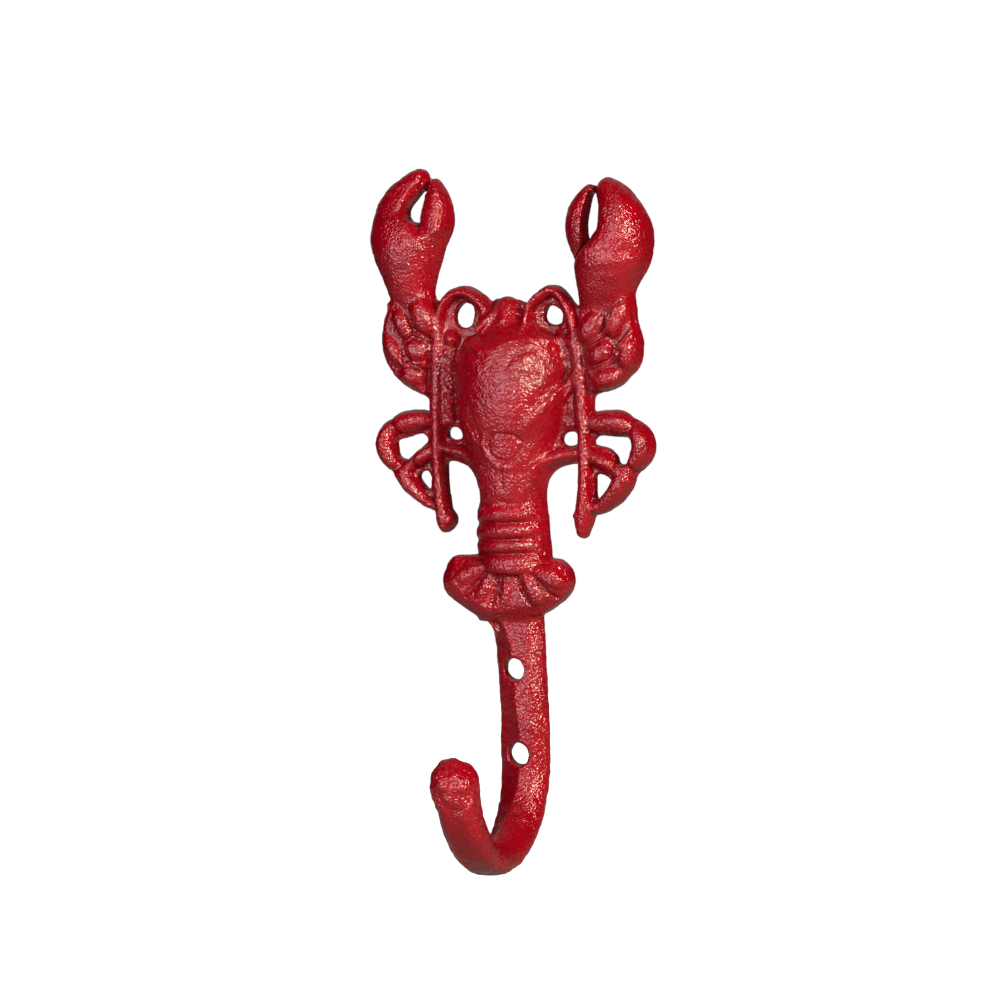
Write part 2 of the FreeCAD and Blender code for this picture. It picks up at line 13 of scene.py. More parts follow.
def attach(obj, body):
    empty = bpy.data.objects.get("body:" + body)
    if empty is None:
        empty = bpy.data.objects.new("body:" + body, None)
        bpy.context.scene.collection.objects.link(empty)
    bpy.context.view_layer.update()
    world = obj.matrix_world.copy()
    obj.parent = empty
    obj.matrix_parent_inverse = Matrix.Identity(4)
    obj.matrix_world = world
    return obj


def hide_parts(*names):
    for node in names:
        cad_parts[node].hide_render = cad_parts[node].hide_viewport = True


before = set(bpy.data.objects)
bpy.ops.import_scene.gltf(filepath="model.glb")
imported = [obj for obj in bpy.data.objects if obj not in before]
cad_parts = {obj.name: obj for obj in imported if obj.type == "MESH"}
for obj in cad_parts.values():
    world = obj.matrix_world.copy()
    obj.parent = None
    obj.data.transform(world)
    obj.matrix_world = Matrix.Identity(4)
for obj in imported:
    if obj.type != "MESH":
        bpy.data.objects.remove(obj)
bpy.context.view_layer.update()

# ------------------------------------------------------------ design, in millimetres
# Masses built up the z axis: power of the section, blend, rows of (z, left, right, crest, height)
MASSES = {
    "claw_l": (2.3, 0.9, [
      (102.56, -27.64, -19.27, -23.46, 5.4), (104.9, -28.87, -18.88, -23.87, 6.2),
      (107.25, -30.24, -18.35, -24.3, 7), (109.33, -30.87, -18.39, -24.63, 7.8),
      (111.39, -31.44, -17.88, -24.66, 8.6), (113.71, -32.23, -17.29, -24.76, 9.4),
      (116.02, -33.2, -16.4, -24.8, 10.1), (118.34, -34, -15.6, -24.8, 10.6),
      (120.65, -34.65, -14.93, -24.79, 10.9), (122.72, -35.15, -14.42, -23.08, 10.6),
      (124.88, -35.12, -16.82, -23.72, 10.1), (126.55, -34.71, -20.08, -24.15, 9.5),
      (128.2, -34.27, -22.69, -24.77, 8.9), (129.79, -33.76, -23.73, -25.53, 8.2),
      (131.6, -33.21, -23.47, -25.23, 7.6), (133.36, -32.33, -22.38, -24.17, 7.1),
      (135.33, -30.83, -20.77, -22.9, 6.6), (137.29, -28.87, -18.87, -21.36, 6),
      (138.89, -26.35, -18.56, -20.26, 5.4), (140.03, -24.28, -18.87, -20.03, 4.4),
      (140.72, -22.63, -19.53, -20.18, 2.8)]),
    "thumb_l": (2.1, 0.8, [
      (118.31, -19.06, -16.56, -17.81, 5.4), (120.33, -20.54, -15.35, -17.95, 7.4),
      (122.35, -21.5, -13.87, -17.68, 8.3), (124.39, -22.06, -12.88, -15.23, 8.5),
      (126.42, -21.72, -12.29, -15.17, 8.4), (128.47, -21.23, -12.19, -15.18, 8.1),
      (130.54, -20.68, -12.37, -15.13, 7.6), (132.61, -20.11, -12.88, -15.12, 7),
      (134.72, -19.68, -13.72, -15.17, 6.2), (136.31, -19.2, -14.65, -15.46, 5.4),
      (137.65, -18.57, -15.58, -16.12, 4.2), (138.49, -17.88, -16.49, -17.18, 2.6)]),
    "claw_r": (2.6, 0.9, [
      (98.78, 23.27, 33.82, 28.55, 5.2), (100.8, 22.11, 34.7, 28.41, 6),
      (102.81, 21.38, 35.19, 28.28, 7), (104.81, 21.2, 35.46, 28.33, 8.2),
      (106.8, 21.12, 36.15, 28.63, 9.4), (109.25, 20.94, 37.71, 29.32, 10.6),
      (111.71, 20.77, 39.34, 30.06, 11.6), (113.68, 20.78, 40.26, 30.52, 12.3),
      (115.41, 21.18, 40.73, 29.67, 12.3), (117.12, 22.27, 41.04, 30.33, 12.5),
      (118.55, 24.3, 41.21, 31.31, 12.5), (120.5, 26.33, 41.25, 32.25, 12.3),
      (122.48, 27.64, 40.86, 32.89, 12), (124.51, 27.83, 40.22, 33.09, 11.5),
      (126.57, 27.85, 39.2, 33.13, 10.9), (128.64, 27.82, 37.98, 32.96, 10),
      (130.75, 27.44, 36.39, 32.3, 8.8), (132.61, 27.29, 34.78, 31.31, 7.4),
      (133.96, 27.75, 32.99, 31.02, 5.8), (134.98, 28.69, 31.06, 29.96, 3.4)]),
    "thumb_r": (2.1, 0.7, [
      (113.89, 20.61, 22.8, 21.71, 3), (115.39, 19.87, 23.4, 22.57, 4.2),
      (117.4, 19.13, 23.89, 22.97, 5.2), (119.17, 18.54, 24.11, 23.1, 5.8),
      (120.95, 18.07, 24.18, 23.08, 6.1), (123.48, 17.98, 24.3, 23.16, 6.2),
      (125.98, 18.31, 24.62, 23.49, 6.1), (127.97, 18.99, 25.08, 23.99, 5.9),
      (129.95, 20.06, 25.65, 24.65, 5.5), (131.68, 21.47, 26.05, 25.2, 4.8),
      (132.91, 22.9, 26.32, 25.68, 4), (133.78, 24.15, 25.96, 25.58, 2.7)]),
    "head": (2.1, 1.6, [
      (105.44, -0.95, 5.01, 2.03, 4.4), (104, -2, 6.3, 2.15, 5.8), (102.46, -3.22, 7.18, 1.98, 6.9),
      (100.66, -4.63, 8.18, 1.78, 7.9), (98.87, -6.33, 9.46, 1.56, 8.9),
      (97.06, -8.2, 11.54, 1.67, 9.9), (95.25, -10.06, 13.88, 1.91, 11)]),
    "body": (2.15, 1.0, [
      (101.42, -1.95, 6.59, 2.32, 6.6), (99.59, -4.13, 9.22, 2.54, 8.6),
      (97.76, -6.58, 12.38, 2.9, 10.8), (96.07, -9.06, 15, 2.97, 12.6),
      (94.42, -10.84, 16.27, 2.71, 13.9), (92.63, -11.77, 16.89, 2.56, 14.8),
      (89.83, -12.44, 17.3, 2.43, 15.5), (86.26, -12.78, 17.41, 2.31, 16),
      (82.19, -12.86, 17.28, 2.21, 16), (78.11, -12.7, 16.88, 2.09, 15.7),
      (74.04, -12, 15.62, 1.81, 14.9), (70.47, -11.16, 14, 1.42, 14),
      (66.89, -10.33, 12.95, 1.31, 13.2), (63.3, -9.62, 11.93, 1.15, 12.7),
      (59.71, -8.29, 10.68, 1.2, 12.4), (57.15, -7.68, 10.02, 1.17, 12.1),
      (55.35, -7.62, 9.78, 1.08, 11.6), (53.8, -7.99, 9.76, 0.89, 10.9),
      (52.79, -8.29, 9.88, 0.79, 11.5), (51.52, -8.58, 9.93, 0.67, 12.2),
      (50.23, -8.59, 10.09, 0.75, 11.9), (48.96, -8.44, 10.17, 0.86, 10.4),
      (47.91, -8.78, 10.25, 0.74, 11.5), (46.76, -9.04, 10.28, 0.62, 11.7),
      (45.72, -8.98, 10.32, 0.67, 11.3), (44.69, -8.84, 10.38, 0.77, 10),
      (43.79, -9.08, 10.45, 0.69, 11), (42.84, -9.17, 10.51, 0.67, 11.1),
      (41.9, -9.16, 10.58, 0.71, 10.7), (41.02, -9.03, 10.65, 0.81, 9.6),
      (40.05, -8.78, 10.52, 0.87, 10.8), (38.64, -8.78, 10.62, 0.92, 11.2),
      (37.35, -8.44, 10.56, 1.06, 11.2), (36.31, -7.79, 10.24, 1.22, 10.8),
      (35.34, -6.77, 9.44, 1.34, 9.4), (34.68, -5.72, 8.16, 1.22, 7.6)]),
}
# Limbs on the wall plane: rows of (x, z, half width, height)
STROKES = {
    "antenna_l": [(-4.79, 99.26, 1.4, 7), (-3.71, 101.52, 1.7, 6.9), (-3.54, 103.67, 1.68, 6.6),
      (-4.91, 105.7, 1.56, 6.3), (-6.98, 107.46, 1.48, 6.2), (-9.82, 108.6, 1.68, 6.2),
      (-12.65, 107.94, 1.62, 6.2), (-14.67, 106.14, 1.49, 6.2), (-16.07, 103.74, 1.63, 6.2),
      (-16.89, 100.42, 1.92, 6.2), (-17.39, 96.04, 2.25, 6.1), (-17.72, 91.39, 2.37, 6.1),
      (-18.09, 84.93, 2.37, 6.1), (-18.34, 78.45, 2.25, 6.1), (-18.6, 71.96, 2.06, 6.1),
      (-18.75, 65.47, 2.01, 6), (-18.8, 60.27, 1.97, 5.8), (-18.64, 55.83, 2.05, 5.7),
      (-18.37, 52.44, 2.13, 5.6), (-18.13, 49.82, 2.15, 5.4), (-17.98, 48.25, 1.77, 5)],
    "antenna_r": [(7.93, 98.34, 1.07, 7.6), (8.18, 100.88, 1.1, 7.2), (8.52, 103.29, 1.1, 6.8),
      (9.69, 105.02, 1.37, 6.5), (11.52, 106.42, 1.54, 6.3), (13.84, 107.41, 1.73, 6.2),
      (15.99, 106.6, 1.54, 6.2), (17.61, 104.55, 1.5, 6.2), (18.84, 102.1, 1.62, 6.2),
      (19.63, 98.25, 1.86, 6.2), (20.25, 94.15, 2.24, 6.2), (20.74, 89.55, 2.42, 6.2),
      (21.1, 83.18, 2.48, 6.2), (21.19, 76.82, 2.48, 6.2), (21.27, 70.46, 2.25, 6.1),
      (21.19, 64.09, 2.07, 6), (20.95, 59, 2.09, 5.9), (20.5, 53.92, 2.47, 5.8),
      (20.1, 50.35, 2.79, 5.6), (19.61, 47.55, 2.36, 5.2), (19.35, 45.75, 1.76, 4.6)],
    "leg_l1a": [(-20.29, 75.92, 2.29, 5), (-22.68, 75.94, 2.8, 5.9), (-25.72, 75.81, 3.1, 6.3),
      (-28.43, 75.31, 3.04, 6.2), (-30.55, 74.5, 2.63, 5.4)],
    "leg_l1b": [(-31.99, 73.83, 2.59, 5.5), (-32.89, 72.24, 2.86, 6.2), (-33.29, 70.17, 2.99, 6.5),
      (-32.8, 67.79, 3.02, 6.4), (-31.44, 65.64, 2.73, 6), (-30.49, 64.29, 2.34, 5.2)],
    "leg_l1c": [(-29.29, 63.31, 2.33, 5.2), (-28.18, 61.51, 2.55, 6.1), (-26.72, 59.32, 2.5, 6.2),
      (-24.83, 57.17, 2.15, 5.8), (-22.93, 55.22, 1.78, 5.2), (-20.53, 53.92, 1.56, 4.8)],
    "leg_l2a": [(-19.78, 68.49, 1.98, 5.2), (-21.82, 67.32, 2.37, 6), (-23.99, 65.96, 2.43, 6),
      (-25.69, 64.92, 2.13, 5.2)],
    "leg_l2b": [(-26.71, 64.3, 2.12, 5.2), (-28.08, 63.31, 2.08, 5.8), (-29.63, 62.04, 1.66, 5.2)],
    "leg_r1a": [(21.99, 73.86, 2.54, 5), (24.74, 73.5, 3.05, 5.8), (27.98, 73.43, 3.26, 6.3),
      (30.49, 73.1, 3.19, 6.3), (32.34, 72.06, 2.77, 5.5)],
    "leg_r1b": [(34.02, 71.29, 2.69, 5.5), (35.49, 69.92, 2.89, 6.2), (36.37, 67.95, 3.04, 6.6),
      (36.09, 65.73, 3.12, 6.6), (34.58, 63.48, 2.84, 6.2), (33.05, 61.83, 2.46, 5.4)],
    "leg_r1c": [(32.1, 60.82, 2.54, 5.4), (30.87, 58.54, 2.95, 6.2), (29.07, 56.11, 2.97, 6.2),
      (26.78, 53.83, 2.63, 5.7), (24.39, 52.21, 2.21, 5.2), (21.52, 51.7, 1.93, 4.8)],
    "leg_r2a": [(21.65, 65.72, 2, 5.2), (23.83, 64.76, 2.4, 5.9), (26.08, 63.67, 2.48, 6.2),
      (27.82, 62.51, 2.33, 5.6)],
    "leg_r2b": [(28.59, 61.93, 2.23, 5.6), (30.04, 61.12, 2.2, 5.8), (31.27, 60.06, 1.78, 5.4)],
    "bar_l": [(-7.94, 65.63, 1.81, 7.6), (-11.05, 67.02, 1.83, 6.5), (-14.12, 67.8, 1.86, 6.1),
      (-17.21, 68.58, 1.76, 5.6)],
    "bar_r": [(10.3, 64.23, 2.25, 7.6), (13.2, 65.02, 2.17, 6.7), (16.12, 65.55, 2.08, 6.2),
      (19.03, 65.95, 1.93, 5.6)],
    "rostrum": [(2.42, 100.41, 1.4, 8.9), (2.34, 102.73, 1.5, 7.4), (2.24, 104.54, 1.5, 5.9),
      (2.06, 105.38, 1.09, 4.4)],
    "brow_l": [(1.61, 104.83, 1.39, 5.8), (0.33, 103.35, 1.73, 7), (-1.22, 101.63, 1.9, 8.3),
      (-2.91, 99.66, 1.67, 9.7), (-4.35, 97.68, 1.35, 11)],
    "brow_r": [(8.31, 101.38, 0.97, 7.4), (7.85, 99.36, 1.04, 8.8), (7.7, 97.31, 1.04, 10.6)],
    "bridge_l": [(-18.58, 137.79, 0.55, 4), (-19.1, 136.79, 0.51, 4.2), (-19.63, 135.67, 0.45, 4)],
    "bridge_r": [(26.6, 132.9, 0.62, 4.6), (26.51, 132.15, 0.58, 4.6), (26.39, 131.66, 0.49, 4.2)],
    "rim_l": [(-20.67, 135.46, 0.41, 4.8), (-22.01, 133.75, 0.45, 4.8), (-23.32, 132.02, 0.45, 4.8),
      (-24.25, 130.27, 0.45, 4.8), (-24.14, 128.45, 0.45, 5), (-23.04, 126.94, 0.45, 5.4)],
    "toe": [(-3.94, 20.97, 1.52, 5.6), (-5.48, 23.32, 1.2, 5.6), (-6.99, 25.43, 1.16, 6)],
    "bed_l": [(-13.77, 95.86, 2.14, 5), (-14.44, 90.72, 2.15, 4.9), (-14.88, 84.78, 2.16, 4.8),
      (-15.33, 75.72, 1.88, 4.6)],
    "bed_r": [(16.75, 96.63, 2.23, 4.2), (17.19, 89.22, 2.26, 3.9), (17.4, 82.07, 2.27, 3.8),
      (17.03, 73.92, 1.97, 3.8)],
}
# Kind of limb: power of the section, blend, sideways shift of the crest
STROKE_STYLES = {
    "antenna": (2.2, 0.9, -0.12), "leg": (2.2, 0.55), "bar": (2.0, 1.0), "rostrum": (2.0, 1.4),
    "brow": (2.0, 1.4), "bridge": (2.0, 1.0), "rim": (2.0, 0.3), "toe": (2.0, 1.0),
    "bed": (3.0, 1.5),
}
# Tail fan blades, left to right, as rows of a limb
FAN = [
    [(-6.29, 37.56, 2.16, 9.2), (-9.03, 36.46, 2.93, 9.7), (-11.29, 35.21, 3.29, 9.8),
      (-12.9, 34.2, 3.01, 9.5)],
    [(-4.18, 35.32, 1.21, 9.3), (-5.05, 33.28, 2.03, 9.7), (-6.23, 31.24, 2.39, 9.8),
      (-7.33, 29.43, 2.29, 9.4)],
    [(1.01, 34.71, 1.59, 9.4), (0.69, 32.92, 2.08, 9.7), (0.34, 30.87, 2.4, 9.8),
      (0.06, 29.05, 2.47, 9.4)],
    [(5.65, 34.88, 1.2, 9.4), (6.55, 33.07, 1.87, 9.7), (7.57, 31.26, 2.38, 9.8),
      (8.66, 29.43, 2.45, 9.4)],
    [(8.68, 36.36, 1.83, 9.2), (10.86, 35.3, 2.91, 9.7), (12.97, 34.11, 3.14, 9.8),
      (13.71, 33.58, 2.7, 9.4)],
]
# Plate outlines (x, z)
WEB = [
    (-29.87, 107.63), (-31.82, 104.59), (-32.8, 101.25), (-33.32, 96.84), (-32.57, 92.1),
    (-29.78, 87.27), (-25.39, 83.94), (-20.51, 81.13), (-20.85, 78.03), (-21.71, 71.82),
    (-20.73, 68.92), (-21.2, 66.07), (-18.78, 64.66), (-15.76, 65.07), (-12.86, 64.47),
    (-10.57, 63.24), (-8.81, 60.98), (-7.12, 58.34), (-6.15, 55.69), (7.92, 55.26), (9.18, 58.27),
    (12.63, 61.51), (14.4, 62.49), (17.47, 63.41), (19.15, 63.36), (21.7, 63.52), (23.2, 65.23),
    (23.36, 69.05), (23, 73.15), (23.35, 77.98), (24.18, 80.24), (25.97, 81.03), (28.64, 81.7),
    (32.92, 84.17), (36.44, 88.05), (37.3, 93.32), (36.22, 98.42), (35.22, 103.01), (30.29, 103.27),
    (25.78, 103.26), (20.94, 103.28), (18.93, 103.91), (16.88, 105.55), (13.3, 106.76),
    (10.73, 106.13), (8.51, 105.1), (6.73, 104.93), (3.43, 105.42), (1.04, 106.02), (-1.6, 106),
    (-3.18, 105.51), (-5.1, 107.04), (-7.99, 107.97), (-10.83, 108.5), (-14.1, 106.87),
    (-16.3, 105.71), (-17.85, 106.84)]
FAN_PLATE = [
    (-7.34, 40.67), (-11.13, 40.54), (-14.3, 40.68), (-15.54, 40.01), (-16.75, 38.35),
    (-17.88, 36.06), (-18.18, 33.74), (-17.54, 31.61), (-16.04, 29.85), (-14.09, 28.51),
    (-12.35, 27.18), (-10.43, 25.81), (-7.99, 24.37), (-4.38, 23.7), (-0.7, 23.41), (3.22, 23.67),
    (6.94, 24.77), (9.55, 25.67), (12.47, 27.52), (14.74, 29.38), (16.1, 31.37), (16.39, 33.53),
    (16.2, 35.61), (15.22, 37.2), (13.78, 38.48), (11.11, 39.11)]
ARM_PLATE_L = [
    (-28.11, 107.75), (-30.05, 105.23), (-31.39, 101.92), (-32.28, 97.81), (-32.2, 94.16),
    (-30.79, 90.45), (-28.54, 87.48), (-25.16, 84.73), (-21.59, 82.75), (-20.59, 83.2),
    (-20.35, 88.92), (-20.18, 95.42), (-19.45, 101.89), (-19.11, 106.54), (-22.32, 107.97)]
ARM_PLATE_R = [
    (22.66, 102.37), (21.67, 99.62), (22.31, 93.27), (23.33, 86.39), (23.8, 81.55), (25.55, 81.97),
    (29.14, 82.31), (32.49, 84.69), (35.28, 88.11), (36.49, 92.85), (35.57, 98.46),
    (34.69, 103.03), (30.66, 102.71), (26.1, 102.21)]
LEG_PLATE_L = [
    (-29.9, 72.65), (-26.96, 74.09), (-22.57, 74.44), (-20.76, 73.82), (-20.51, 68.07),
    (-20.76, 62.86), (-20.82, 55.54), (-21.68, 55.38), (-23.66, 56.76), (-25.95, 60.49),
    (-27.76, 64.21), (-29.89, 66.38), (-30.53, 69.54)]
LEG_PLATE_R = [
    (23.07, 71.66), (25.71, 72.05), (30.11, 71.36), (33.07, 69.71), (33.92, 67.14),
    (33.02, 63.87), (30.28, 61.18), (28, 58.19), (26, 54.69), (24.08, 53.26), (22.35, 54.89),
    (22.66, 61.5), (22.88, 66.58)]
WEB_HEIGHT, ARM_PLATE_HEIGHT, FAN_PLATE_HEIGHT = 3.0, 5.8, 9.0
# See-through openings: outline (x, z), rounding of the rim
OPENINGS = {
    "ant_l": ([(-9.99, 105.76), (-8.22, 105.39), (-7.39, 104.17), (-7.63, 101.74), (-8.48, 99.88),
      (-10.19, 99.41), (-11.73, 100.02), (-12.56, 101.52), (-12.35, 103.32), (-11.38, 104.81)],
      1.1),
    "ant_r": ([(13.24, 103.77), (15, 103.04), (16.37, 101.94), (16.56, 100.7), (15.95, 99.31),
      (14.63, 98.88), (12.91, 99.24), (11.96, 100.27), (11.9, 101.75), (12.4, 103)], 1.1),
    "leg_l": ([(-14.03, 73.94), (-12.71, 73.23), (-12.17, 71.71), (-12.9, 70.7), (-14.76, 70.69),
      (-15.91, 71.5), (-15.95, 72.85), (-15.26, 73.67)], 1.0),
    "leg_r": ([(17.4, 71.49), (18.9, 70.99), (19.52, 69.8), (19.03, 68.49), (17.52, 67.86),
      (15.73, 68.22), (15.01, 69.36), (15.6, 70.78)], 1.0),
    "gap_l1": ([(-30.21, 70.99), (-27.7, 71.7), (-24.04, 72.52), (-22.59, 72.21), (-21.79, 70.93),
      (-22.52, 69.86), (-25.44, 67.65), (-27.55, 66.04), (-29.44, 66.41), (-30.25, 67.5),
      (-30.47, 69.35)], 0.7),
    "gap_l2": ([(-23.03, 62.81), (-21.82, 62.48), (-21.32, 60.96), (-21.6, 58.05), (-22.6, 58.26),
      (-23.89, 59.79), (-24.55, 61.05), (-24.28, 62.25)], 0.7),
    "gap_r1": ([(23.58, 68.18), (24.1, 69.64), (25.66, 70.25), (29.64, 69.61), (32.6, 69.21),
      (33.44, 67.84), (33.29, 64.53), (31.71, 62.8), (30.02, 62.9), (29.43, 64.74),
      (27.65, 66.67), (24.81, 67.58)], 0.7),
    "gap_r2": ([(23.72, 59.96), (24.6, 60.3), (26.44, 59.76), (27.62, 58.43), (26.54, 56.41),
      (24.47, 54.44), (23.6, 54.5), (23.48, 57.31)], 0.7),
    "claw_l": ([(-19.89, 134.73), (-19.8, 133.69), (-20.26, 131.41), (-21.02, 128.63),
      (-22.48, 127.37), (-23.72, 127.9), (-24.36, 129.16), (-24.14, 130.75), (-22.8, 132.44),
      (-21.26, 133.84)], 0.5),
    "claw_r": ([(26.42, 131.38), (26.6, 130.47), (26.58, 128.2), (26.26, 126.21), (26.36, 123.17),
      (25.91, 121.65), (24.8, 120.66), (24.06, 121.15), (24.03, 123.94), (24.61, 126.67),
      (25.26, 129.23), (25.86, 130.82)], 0.6),
}
OPENING_FLARE = 0.03        # widening or narrowing per millimetre out
# Grooves, or raised lines where the depth is negative: line (x, z, share), width, depth
GROOVES = [
    ([(-17.38, 138.55, 1), (-18.16, 136.81, 1), (-18.78, 135.31, 1)], 0.56, 1.6),
    ([(-21.03, 127.31, 1), (-20.69, 125.74, 1), (-19.79, 124.14, 1)], 0.66, 1.3),
    ([(27.37, 133.57, 1), (27.25, 132.07, 1)], 0.46, 1.2),
    ([(25.8, 120.26, 1), (24.38, 118.09, 1), (22.69, 115.93, 1), (21.6, 115.24, 1)], 0.66, 1.7),
    ([(-0.73, 70.67, 1), (0.66, 71.5, 1), (2.82, 71.68, 1), (5.22, 71.33, 1), (6.84, 70.39, 1),
      (7.38, 68.73, 1), (6.76, 66.86, 1), (5.21, 65.37, 1), (2.9, 64.69, 1), (0.77, 65.32, 1),
      (-0.64, 66.74, 1), (-1.25, 68.79, 1), (-0.73, 70.67, 1)], 0.41, 0.55),
    ([(-2.86, 71.38, 0.3), (-2.45, 68.58, 1), (-1.23, 65.75, 1), (0.7, 63.65, 1), (2.82, 62.92, 1),
      (5.13, 63.5, 1), (7.35, 65.2, 0.8), (8.92, 67.41, 0.3)], 0.87, -0.45),
    ([(2.01, 62.82, 0.6), (1.74, 60.55, 1), (1.79, 58.01, 0.8)], 0.38, 0.45),
    ([(-5.62, 79.35, 0.2), (-4.22, 74.47, 0.8), (-2.78, 70.36, 0.8)], 0.64, 0.3),
    ([(21.06, 87.75, 0.3), (17.96, 83.51, 1), (14.86, 79.5, 1), (11.5, 75.62, 1),
      (8.68, 72.46, 0.4)], 1.12, -0.75),
    ([(20.45, 84.52, 0.2), (18.46, 81.59, 1), (15.93, 78.43, 1), (13.93, 75.49, 0.5)], 0.66, -0.5),
    ([(18.48, 87.62, 0.2), (16.66, 85.2, 0.9), (13.97, 81.56, 1), (10.9, 78.18, 0.5)], 1.02, 0.6),
    ([(19.9, 82.54, 0.4), (17.37, 79.38, 1), (14.86, 76.72, 0.6)], 0.61, 0.45),
    ([(5.57, 89.73, 0.4), (7.52, 91.4, 1), (9.69, 92.17, 1), (12.1, 92.43, 0.4)], 0.46, 0.3),
    ([(1.93, 92.44, 0.3), (3.62, 94.12, 1), (5.81, 95.02, 0.8), (7.95, 94.92, 0.3)], 0.46, -0.3),
    ([(4.66, 87.51, 0.3), (6.1, 89.71, 1), (8.33, 91.49, 1), (11.03, 92.36, 1),
      (13.18, 92.63, 0.3)], 0.87, 0.35),
    ([(-4.97, 36.3, 0.7), (-6.83, 34.41, 1), (-8.83, 32.52, 1), (-10.85, 30.5, 1)], 0.48, 0.9),
    ([(-1.74, 35.47, 0.8), (-2.26, 32.92, 1), (-2.93, 30.37, 1), (-3.57, 28.2, 1)], 0.48, 0.9),
    ([(3.67, 35.11, 0.8), (4.37, 32.8, 1), (5.29, 30.36, 1), (6.46, 28.18, 1)], 0.48, 0.9),
    ([(7.33, 35.55, 0.8), (9.12, 33.48, 1), (11.05, 31.54, 1), (13.11, 29.6, 1)], 0.48, 0.9),
    ([(-30.89, 76.14, 0.7), (-29.86, 74.28, 1), (-28.39, 72.66, 0.7)], 0.56, 0.5),
    ([(-31.65, 63.4, 0.7), (-29.52, 63.9, 1), (-27.35, 65.08, 0.7)], 0.56, 0.5),
    ([(-25.46, 66.58, 0.8), (-24.85, 64.74, 1), (-24.09, 63.15, 0.8)], 0.51, 0.5),
    ([(-21.24, 78.87, 0.7), (-20.68, 76, 1), (-20.82, 73.15, 0.7)], 0.51, 0.4),
    ([(35.35, 74.27, 0.7), (34.2, 71.93, 1), (32.67, 70.09, 0.7)], 0.56, 0.5),
    ([(32.24, 63.3, 0.7), (33.87, 61.36, 1), (35.51, 59.92, 0.7)], 0.56, 0.5),
    ([(27.89, 60.42, 0.7), (29.03, 62.28, 1), (30.04, 64.14, 0.7)], 0.51, 0.5),
    ([(35.38, 104.21, 0.5), (32.41, 102.27, 1), (31.25, 99.83, 1), (29.97, 96.98, 1),
      (28.69, 95.57, 1), (26.44, 94.17, 1), (23.72, 92.55, 0.7)], 0.43, -0.8),
    ([(35.87, 96.33, 0.6), (34.28, 94.26, 1), (32.13, 91.86, 1), (31.46, 89.78, 1),
      (30.28, 88.6, 1), (26.83, 87.18, 1), (24.13, 86.05, 0.6)], 0.43, -0.8),
    ([(-25.68, 96.54, 0.6), (-24.51, 97.64, 1), (-22.94, 98.44, 1), (-21.3, 97.74, 1),
      (-19.7, 96.45, 1), (-19.12, 94.02, 0.7)], 0.41, -0.65),
    ([(-26.42, 91.53, 0.8), (-25.91, 90.6, 1), (-23.39, 90.87, 1), (-20.38, 89.7, 1)], 0.41, -0.6),
    ([(10.49, 95.68, 0.4), (12.61, 95.44, 1), (15.27, 95.31, 1), (17.65, 95.19, 1),
      (18.78, 93.88, 0.6)], 0.81, -0.6),
    ([(11.97, 98.29, 0.6), (14.08, 97.68, 1), (16.73, 97.29, 0.8)], 2.04, 1.0),
    ([(-6.96, 97.45, 0.6), (-3.75, 96.27, 1), (-0.5, 96.36, 1), (2.25, 97.49, 0.5)], 2.04, 0.9),
    ([(-6.05, 95.37, 0.6), (-4.21, 94.13, 1), (-2.38, 92.65, 0.6)], 0.76, -0.45),
    ([(-5.15, 93.29, 0.5), (-3.57, 92.2, 1), (-2, 91.11, 0.6)], 0.76, 0.4),
    ([(-8.96, 78.72, 0.3), (-7.61, 75.61, 1), (-6.01, 71.99, 1), (-4.38, 69.13, 0.6)], 0.56, -0.4),
]
# Small lumps: x, z, half sizes in x and z, height
BLOBS = [
    (-13.28, 96.59, 2.42, 2.42, 6.1), (-5.18, 96.07, 1.37, 1.37, 11.6),
    (-14.53, 93.04, 1.27, 1.15, 5.6), (-13.06, 91.42, 1.15, 1.27, 5.7),
    (-14.55, 89.69, 1.27, 1.15, 5.6), (-13.26, 87.82, 1.27, 1.15, 5.6),
    (-14.86, 86.08, 1.27, 1.15, 5.6), (-13.68, 84.22, 1.27, 1.27, 5.7),
    (-15.05, 82.21, 1.27, 1.15, 5.6), (-13.75, 80.35, 1.27, 1.15, 5.6),
    (-15.1, 78.59, 1.27, 1.15, 5.5), (-13.95, 76.99, 1.15, 1.15, 5.4),
    (17.04, 93.54, 1.02, 1.15, 4.6), (17.3, 90.73, 1.02, 1.15, 4.5),
    (17.71, 87.92, 1.02, 1.15, 4.5), (17.72, 85.12, 1.02, 1.15, 4.5),
    (17.86, 82.31, 1.02, 1.15, 4.5), (17.87, 79.51, 1.02, 1.15, 4.5),
    (17.88, 76.71, 1.02, 1.15, 4.5), (-20.68, 95.15, 0.51, 0.56, 6.2),
    (-20.34, 93.58, 0.51, 0.56, 6.2), (-20.3, 92.03, 0.51, 0.56, 6.2),
    (-20.43, 90.48, 0.51, 0.56, 6.2), (-20.75, 88.94, 0.51, 0.56, 6.1),
    (-21.13, 87.4, 0.51, 0.56, 6), (-21.51, 85.86, 0.51, 0.56, 5.9),
    (-16.43, 49.96, 1.58, 2.09, 5.4), (17.97, 50.05, 0.76, 0.76, 4.8),
    (-8.37, 24.4, 1.17, 1.17, 5.2),
]
